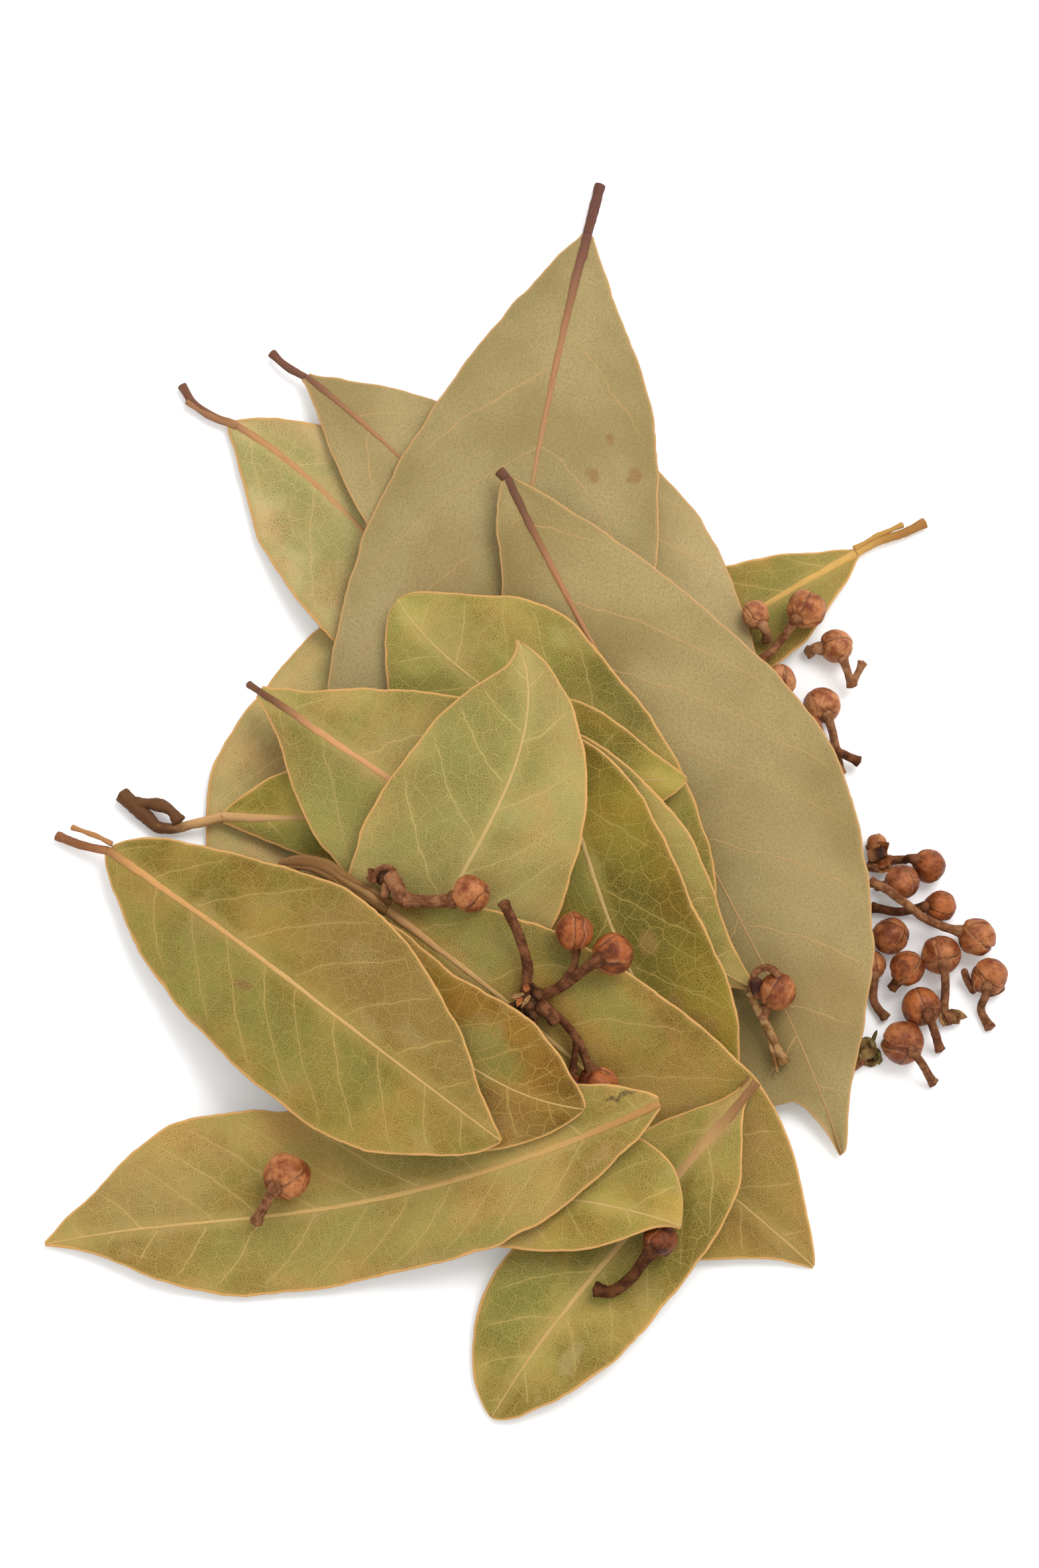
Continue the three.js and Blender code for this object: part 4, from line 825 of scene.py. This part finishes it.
def up_the_crown(points, centre, radius, angle):
    """Lets a stalk leave its bud, at its first point, from the upper side and bend down over the shoulder."""
    rest = [point for point in points if math.dist(point[:2], centre[:2]) > 1.6 * radius] or [points[-1]]
    flat = unit((rest[0][0] - centre[0], rest[0][1] - centre[1], 0))
    climb = []
    for degrees, reach in ((angle, 0.5), (angle + 5, 0.92), (min(angle + 22, 86), 1.2)):
        turn = math.radians(degrees)
        way = flat * math.sin(turn) + [0, 0, math.cos(turn)]
        climb.append(tuple(np.array(centre) + radius * reach * way))
    return climb + rest


def make_twig(name, twig, materials, seed):
    solid = Solid(name)
    piece = Piece("look_" + name)
    heads = twig["heads"]
    stems = [(radius, [(*point, radius)[:3] for point in run]) for radius, run in twig["stems"]]
    rise = resting_plane(heads, stems, solid)
    radii = {head[:2]: head[2] for head in heads}
    ends = [run[-1][:2] for _, run in stems]
    leaving = {}

    def laid(x, y, height):
        return x, y, height + rise(x, y)

    for k, (radius, run) in enumerate(stems):
        points = [laid(*point) for point in run]
        reached = []
        for end, turned in ((0, 1), (-1, -1)):
            for head, angle in zip(heads, twig.get("crowns", ())):
                if angle and run[end][:2] == head[:2]:
                    centre = laid(*head)
                    ordered = up_the_crown(points[::turned], centre, head[2], angle)
                    points = ordered[::turned]
                    leaving[head[:2]] = np.array(centre) - ordered[0]
                    reached.append(end)
        path = curve_through(points, 0.16)
        total = run_along(path)
        slim = 1.1 * radius * (1 - 0.12 * np.sin(math.pi * total / total[-1]))
        for end, away in ((0, total), (-1, total[-1] - total)):
            place = run[end][:2]
            if place in radii:
                joint = radii[place] * (0.45 if end in reached else 1)
                slim = slim * (1 + 0.35 * bell(away, joint, 0.6))
            elif end == -1 or place not in ends:
                slim = slim * (1 + 0.2 * smooth_step(0.8, 0.1, away))
        look = SPLINTER if twig.get("straw") and k == 0 else WOOD
        sweep(piece, look, path, slim, slim, 20, 0.05, 0.1, seed * 7 + k)
    aside, ahead, share = twig.get("husk", (0, 0, 1))
    for k, (x, y, r) in enumerate(heads):
        centre = laid(x, y, r)
        axis = np.array([0.3, 0.2, 0.8])
        for _, run in stems:
            for end, other in ((0, 1), (-1, -2)):
                if run[end][:2] == (x, y):
                    axis = np.array(centre) - laid(*run[other])
        axis = leaving.get((x, y), axis)
        placed = (x + aside, y + ahead, centre[2])
        bud_head(piece, placed, share * r, axis, seed * 13 + k, ROUGH if "husk" in twig else SKIN)
    for k, (wide, high, look, run) in enumerate(twig.get("straps", ())):
        path = curve_through([laid(*point) for point in run], 0.12)
        end = np.sqrt(np.clip(1 - np.linspace(-1, 1, len(path)) ** 8, 0.12, 1))
        sweep(piece, look, path, wide * end, high * end, 20, 0.07, 0.16, seed * 23 + k)
    for make, key, step in ((knot, "knots", 17), (petal, "petals", 19)):
        for k, (x, y, height, *shape) in enumerate(twig.get(key, ())):
            make(piece, laid(x, y, height), *shape, seed=seed * step + k)
    piece.build(materials, name)


# ---------------------------------------------------------------------------------- materials
VEIN_STRAW, DRY_BROWN, BLEACHED, SPECK = (230, 200, 126), (176, 140, 92), (205, 180, 130), (112, 78, 48)
RIM_TAN, RIM_ORANGE = (190, 152, 86), (228, 174, 104)
HIDDEN_DEEP, HIDDEN_LIGHT = (160, 138, 88), (186, 165, 116)
CHALK = (214, 196, 146)
PLACE_STEP = (37.0, 11.0)
FINE_BUMP, WOOD_BUMP = 0.00008, 0.00012


def tint(colour):
    """The surface colour that looks like an sRGB colour in this studio's light."""
    channels = []
    for value in colour:
        c = value / 255
        linear = c / 12.92 if c <= 0.04045 else ((c + 0.055) / 1.055) ** 2.4
        channels.append(min(1.0, linear / STUDIO_LIGHT))
    return (*channels, 1.0)


def blend(a, b, f):
    return tuple(x + (y - x) * f for x, y in zip(a, b))


class Nodes:
    """A material's nodes, and the colour that has been laid on so far."""

    def __init__(self, name):
        self.material = bpy.data.materials.new(name)
        self.material.use_nodes = True
        self.tree = self.material.node_tree
        self.shader = self.tree.nodes["Principled BSDF"]

    def put(self, socket, value):
        if isinstance(value, bpy.types.NodeSocket):
            self.tree.links.new(value, socket)
        else:
            socket.default_value = value

    def add(self, kind, inputs=(), **settings):
        node = self.tree.nodes.new("ShaderNode" + kind)
        for key, value in settings.items():
            setattr(node, key, value)
        for key, value in dict(inputs).items():
            self.put(node.inputs[key], value)
        return node

    def math(self, operation, a, b=0.0, c=0.0):
        return self.add("Math", {0: a, 1: b, 2: c}, operation=operation).outputs[0]

    def vector(self, operation, a, b=(0, 0, 0), output=0):
        return self.add("VectorMath", {0: a, 1: b}, operation=operation).outputs[output]

    def times(self, a, b):
        return self.math("MULTIPLY", a, b)

    def shift(self, place, x, y):
        return self.vector("ADD", place, (x, y, 0.0))

    def mix(self, factor, a, b, how="MIX"):
        return self.add("Mix", {0: factor, 6: a, 7: b}, data_type="RGBA", blend_type=how).outputs[2]

    def smooth(self, value, low, high, start=0.0, end=1.0):
        inputs = {"Value": value, "From Min": low, "From Max": high, "To Min": start, "To Max": end}
        return self.add("MapRange", inputs, interpolation_type="SMOOTHSTEP").outputs[0]

    def noise(self, place, scale, detail, roughness=0.5, output="Fac"):
        inputs = {"Vector": place, "Scale": scale, "Detail": detail, "Roughness": roughness}
        return self.add("TexNoise", inputs).outputs[output]

    def cells(self, place, scale):
        settings = dict(feature="DISTANCE_TO_EDGE", voronoi_dimensions="2D")
        return self.add("TexVoronoi", {"Vector": place, "Scale": scale}, **settings).outputs["Distance"]

    def field(self, name):
        vector = self.add("Attribute", attribute_name=name).outputs["Vector"]
        return vector, self.add("SeparateXYZ", {0: vector}).outputs

    def warp(self, place, scale, amount):
        """Pushes a place about by a noise of its own."""
        middle = self.vector("ADD", self.noise(place, scale, 2.0, output="Color"), (-0.5, -0.5, -0.5))
        return self.vector("ADD", place, self.vector("MULTIPLY", middle, (amount,) * 3))

    def start(self, cloud, low, high, deep, light):
        """The first colour, cloudy from deep to light."""
        self.colour = self.mix(self.smooth(cloud, low, high), tint(deep), tint(light))

    def lay(self, where, colour, share=None):
        """Lays an sRGB colour on, by a value or a share of it."""
        where = where if share is None else self.times(where, share)
        self.colour = self.mix(where, self.colour, tint(colour))

    def shade(self, where, by):
        """Multiplies the colour."""
        by = (*by, 1.0) if isinstance(by, tuple) else by
        self.colour = self.mix(where, self.colour, by, "MULTIPLY")

    def stain(self, flat, stains):
        """Soft-edged blots."""
        drift = self.warp(self.warp(flat, 0.2, 4.0), 1.1, 1.0)
        for along, aside, long, wide, colour, strength in stains:
            scaled = self.vector("MULTIPLY", self.shift(drift, -along, -aside), (1 / long, 1 / wide, 0.0))
            away = self.vector("LENGTH", scaled, output="Value")
            self.lay(self.smooth(away, 0.45, 1.25, strength, 0.0), colour)

    def relief(self, strength, distance, *parts):
        """A bump from the weighed sum of some values."""
        height = 0.0
        for value, weight in parts:
            height = self.math("MULTIPLY_ADD", value, weight, height)
        node = self.add("Bump", {"Height": height, "Strength": strength, "Distance": distance})
        self.put(self.shader.inputs["Normal"], node.outputs[0])

    def finish(self, roughness, specular):
        self.put(self.shader.inputs["Base Color"], self.colour)
        self.put(self.shader.inputs["Roughness"], roughness)
        self.shader.inputs["Specular IOR Level"].default_value = specular
        return self.material


class LeafSide(Nodes):
    """What both sides of a leaf share: places on the blade, the cells of its net, and its side veins."""

    def __init__(self, side, leaf, number, bend, crumple, wobble, inward, line):
        super().__init__(side + leaf["name"])
        blade, (_, self.aside, self.edge) = self.field("blade")
        _, (phase, spacing, _) = self.field("vein")
        self.flat = self.vector("MULTIPLY", blade, (1, 1, 0))
        self.place = self.shift(self.flat, *(number * step for step in PLACE_STEP))
        bent = self.warp(self.place, 0.5, bend)
        self.crumpled = self.warp(bent, 2.5, crumple)
        self.coarse = self.cells(bent, 0.45)
        scale, amount = wobble
        counted = self.math("MULTIPLY_ADD", self.noise(self.place, scale, 3.0), amount, phase)
        turned = self.math("ABSOLUTE", self.math("SUBTRACT", self.math("FRACT", counted), 0.5))
        self.from_vein = self.times(self.math("SUBTRACT", 0.5, turned), spacing)
        self.inward = self.smooth(self.edge, *inward)
        self.vein = self.times(self.smooth(self.from_vein, *line, 1.0, 0.0), self.inward)

    def cloud(self, x, y, scale, detail, roughness):
        return self.noise(self.shift(self.place, x, y), scale, detail, roughness)


def upper_side(leaf, number):
    n = LeafSide("upper_", leaf, number, 0.8, 0.1, (0.45, 0.16), (0.4, 2.2), (0.03, 0.13))
    deep, light, place = leaf["deep"], leaf["light"], n.place
    net = blend(light, VEIN_STRAW, 0.5)
    fine = n.cells(n.crumpled, 3.4)
    fine_line = n.smooth(fine, 0.03, 0.2, 1.0, 0.0)
    middle_line = n.smooth(n.cells(n.crumpled, 1.4), 0.01, 0.075, 1.0, 0.0)
    coarse_line = n.smooth(n.coarse, 0.006, 0.036, 1.0, 0.0)
    halo = n.times(n.smooth(n.from_vein, 0.1, 0.9, 1.0, 0.0), n.inward)
    beside_rib = n.smooth(n.math("ABSOLUTE", n.aside), 0.45, 1.5, 1.0, 0.0)

    n.start(n.noise(place, 0.075, 4.0, 0.55), 0.36, 0.64, deep, light)
    spread = 0.3 * leaf["patch"]
    patches = n.smooth(n.cloud(91.0, 17.0, 0.11, 5.0, 0.6), 0.66 - spread, 0.8 - spread)
    n.lay(patches, blend(light, DRY_BROWN, 0.75), 0.75)
    n.lay(n.smooth(n.cloud(13.0, 57.0, 0.2, 4.0, 0.55), 0.64, 0.74, 0.0, 0.4), blend(light, BLEACHED, 0.7))
    hue = n.smooth(n.cloud(151.0, 23.0, 0.2, 5.0, 0.6), 0.38, 0.62)
    n.shade(1.0, n.mix(hue, (0.93, 1.025, 0.96, 1.0), (1.05, 0.965, 0.94, 1.0)))
    n.stain(n.flat, leaf.get("stains", ()))
    pits = n.smooth(n.cloud(77.0, 3.0, 0.16, 4.0, 0.6), 0.48, 0.64)
    n.shade(n.smooth(fine, 0.1, 0.32), n.mix(pits, (0.8, 0.87, 0.72, 1.0), (0.74, 0.7, 0.56, 1.0)))
    for line, share in ((fine_line, 0.22), (middle_line, 0.24), (coarse_line, leaf["net"]), (halo, 0.08)):
        n.lay(line, net, share)
    n.lay(n.vein, blend(net, leaf["rib"], 0.2), 0.6)
    n.lay(beside_rib, net, 0.25)
    n.lay(n.smooth(n.cloud(5.0, 71.0, 0.55, 4.0, 0.65), 0.73, 0.78, 0.0, 0.7), SPECK)
    reach = n.times(n.edge, n.smooth(n.noise(place, 0.3, 2.0), 0.3, 0.7, 1.35, 0.75))
    n.lay(n.smooth(reach, 0.2, 0.8, 0.3, 0.0), RIM_TAN)
    n.lay(n.smooth(reach, 0.12, 0.26, 0.95, 0.0), RIM_ORANGE)
    n.relief(0.45, FINE_BUMP, (n.smooth(fine, 0.0, 0.3), -0.35), (middle_line, 0.3), (coarse_line, 0.4),
             (n.vein, 0.7), (n.noise(place, 6.0, 3.0), 0.35))
    return n.finish(n.smooth(n.noise(place, 0.5, 3.0), 0.2, 0.8, 0.5, 0.66), 0.12)


def under_side(leaf, number):
    n = LeafSide("under_", leaf, number, 0.9, 0.12, (0.35, 0.14), (0.6, 3.5), (0.04, 0.16))
    deep, light = (HIDDEN_DEEP, HIDDEN_LIGHT) if leaf["up"] else (leaf["deep"], leaf["light"])
    fine = n.cells(n.crumpled, 3.0)
    n.start(n.noise(n.place, 0.06, 4.0, 0.5), 0.34, 0.66, deep, light)
    felt = n.noise(n.place, 2.6, 3.0, 0.6)
    n.lay(n.smooth(felt, 0.4, 0.7, 0.0, 0.4), blend(deep, (120, 104, 60), 0.45))
    n.stain(n.flat, () if leaf["up"] else leaf.get("stains", ()))
    grainy = n.noise(n.place, 5.5, 2.0, 0.6)
    n.shade(n.smooth(grainy, 0.5, 0.7, 0.0, 0.8), (0.74, 0.72, 0.66))
    n.lay(n.smooth(grainy, 0.3, 0.45, 0.45, 0.0), CHALK, 0.5)
    cloud = n.smooth(n.cloud(31.0, 7.0, 0.16, 4.0, 0.6), 0.45, 0.7, 0.05, 0.26)
    n.lay(n.smooth(fine, 0.12, 0.3), blend(deep, (122, 108, 62), 0.55), cloud)
    n.lay(n.smooth(fine, 0.03, 0.16, 0.1, 0.0), blend(light, (214, 196, 144), 0.5))
    n.lay(n.smooth(n.coarse, 0.006, 0.03, 0.07, 0.0), blend(light, (206, 170, 120), 0.5))
    n.lay(n.vein, blend(light, (206, 160, 106), 0.7), 0.7)
    n.lay(n.smooth(n.cloud(5.0, 71.0, 0.3, 4.0, 0.65), 0.7, 0.78, 0.0, 0.35), (146, 112, 74))
    n.lay(n.smooth(n.edge, 0.2, 0.7, 0.25, 0.0), (194, 158, 104))
    n.lay(n.smooth(n.edge, 0.08, 0.2, 0.85, 0.0), (216, 168, 110))
    n.relief(0.5, FINE_BUMP, (n.smooth(fine, 0.0, 0.3), -0.22), (n.vein, 0.8), (felt, 0.5))
    return n.finish(n.smooth(felt, 0.2, 0.8, 0.6, 0.74), 0.08)


def rib_side(leaf, number):
    """Stalk and midrib. The field holds millimetres along and around, and the share of the way to the tip."""
    n = Nodes("rib_" + leaf["name"])
    blade, (_, _, share) = n.field("blade")
    streak = n.noise(n.shift(n.vector("MULTIPLY", blade, (0.6, 4.0, 0.0)), number * 5.0, 0.0), 1.0, 4.0, 0.6)
    rib = leaf["rib"]
    far = blend(rib, (222, 186, 116) if leaf["up"] else (204, 170, 112), 0.65)
    wavy = n.math("MULTIPLY_ADD", n.math("SUBTRACT", streak, 0.5), 0.08, share)
    foot_to, stalk_to, rib_to = leaf.get("fade", (0.04, 0.2, 0.6) if leaf["up"] else (0.04, 0.3, 0.5))
    n.start(wavy, foot_to, stalk_to, leaf["foot"], rib)
    n.lay(n.smooth(wavy, stalk_to, rib_to), far)
    n.shade(n.smooth(streak, 0.5, 0.72, 0.0, 0.5), (0.66, 0.6, 0.54))
    n.lay(n.smooth(streak, 0.28, 0.42, 0.35, 0.0), blend(rib, (240, 212, 156), 0.5), 0.5)
    n.relief(0.6, WOOD_BUMP, (streak, 1.0), (n.noise(blade, 5.0, 3.0), 0.4))
    return n.finish(0.62, 0.12)


def bud_skin(name, deep, light, number):
    """The field holds how deep in a seam, how near a bract's rim, and the share of the way to the stalk. Seams
    get painted shade and rims get painted light.
    """
    n = Nodes(name)
    _, (seam, rim, share) = n.field("blade")
    place = n.shift(n.add("TexCoord").outputs["Object"], number * 0.013, 0.0)
    cloud = n.noise(place, 420.0, 4.0, 0.6)
    wrinkle = n.noise(place, 2600.0, 4.0, 0.65)
    n.start(cloud, 0.35, 0.65, deep, light)
    n.shade(n.smooth(wrinkle, 0.46, 0.68, 0.0, 0.6), (0.42, 0.32, 0.24))
    n.lay(n.smooth(n.noise(place, 5200.0, 2.0, 0.6), 0.66, 0.76, 0.0, 0.3), (206, 150, 104))
    # Painted light along the raised edge of each bract.
    n.lay(rim, (204, 146, 96), 0.35)
    # Painted shade: a dark line in the crease beside each bract's edge.
    n.lay(seam, (66, 32, 18), 0.8)
    n.lay(n.smooth(share, 0.78, 0.95, 0.0, 0.55), (104, 58, 34))
    n.relief(0.45, WOOD_BUMP, (cloud, 1.0), (wrinkle, 0.8))
    return n.finish(n.smooth(wrinkle, 0.3, 0.7, 0.4, 0.6), 0.2)


def stem_skin(name, deep, light, number):
    n = Nodes(name)
    stretched = n.vector("MULTIPLY", n.field("blade")[0], (0.45, 3.4, 0.0))
    streak = n.noise(n.shift(stretched, number * 5.0, 0.0), 1.2, 4.0, 0.65)
    place = n.add("TexCoord").outputs["Object"]
    grain = n.noise(place, 6500.0, 3.0, 0.7)
    n.start(n.noise(place, 900.0, 3.0, 0.6), 0.36, 0.64, deep, light)
    n.lay(n.smooth(streak, 0.48, 0.68, 0.0, 0.6), blend(deep, (50, 30, 22), 0.35))
    n.lay(n.smooth(grain, 0.56, 0.72, 0.0, 0.25), blend(light, (222, 184, 146), 0.5))
    n.lay(n.smooth(grain, 0.28, 0.42, 0.3, 0.0), blend(deep, (50, 28, 16), 0.3))
    n.relief(0.7, 0.00013, (streak, 0.8), (grain, 1.0))
    return n.finish(0.8, 0.08)


def floor_look():
    n = Nodes("floor")
    speckle = n.noise(n.add("TexCoord").outputs["Object"], 60.0, 2.0)
    n.colour = n.mix(n.smooth(speckle, 0.3, 0.7), (0.93, 0.93, 0.93, 1.0), (0.95, 0.95, 0.95, 1.0))
    n.shader.inputs["Emission Color"].default_value = (1.0, 1.0, 1.0, 1.0)
    n.shader.inputs["Emission Strength"].default_value = FLOOR_GLOW
    return n.finish(0.9, 0.0)


# ---------------------------------------------------------------------------------- the scene
def make_floor():
    mesh = bpy.data.meshes.new("floor")
    corners = [(x * FLOOR_SIZE, y * FLOOR_SIZE, -FLOOR_DROP) for x, y in ((-1, -1), (1, -1), (1, 1), (-1, 1))]
    mesh.from_pydata(corners, [], [(0, 1, 2, 3)])
    mesh.materials.append(floor_look())
    floor = place_thing("floor", mesh)


make_camera()
make_studio()
make_floor()

for number, leaf in enumerate(LEAVES):
    node = "leaf_" + leaf["name"]
    solid = Solid(node)
    piece = Piece("look_" + node)
    leaf_blade(piece, leaf, solid, 20 * number + 3)
    leaf_rib(piece, leaf, solid, 20 * number + 3)
    looks = [upper_side(leaf, number), under_side(leaf, number), rib_side(leaf, number)]
    piece.build(looks, node)

straw = stem_skin("straw", (134, 92, 50), (194, 150, 98), 3)
olive = stem_skin("olive", (96, 84, 40), (170, 152, 92), 4)
knotty = stem_skin("knotty", (56, 36, 24), (118, 76, 46), 5)
husk = stem_skin("husk", (98, 72, 36), (164, 132, 80), 6)
skins, names_of = {}, {}
for number, (tone, (deep, light, wood, pale_wood, names)) in enumerate(TONES.items(), 1):
    skin = bud_skin("bud_" + tone, deep, light, number)
    skins[tone] = [skin, stem_skin("stem_" + tone, wood, pale_wood, number)]
    names_of[tone] = names
for number, (name, twig) in enumerate(TWIGS.items(), 1):
    tone = next((tone for tone, names in names_of.items() if name in names), "warm")
    make_twig(name, twig, skins[tone] + ([olive, husk] if "husk" in twig else [straw, knotty]), number)
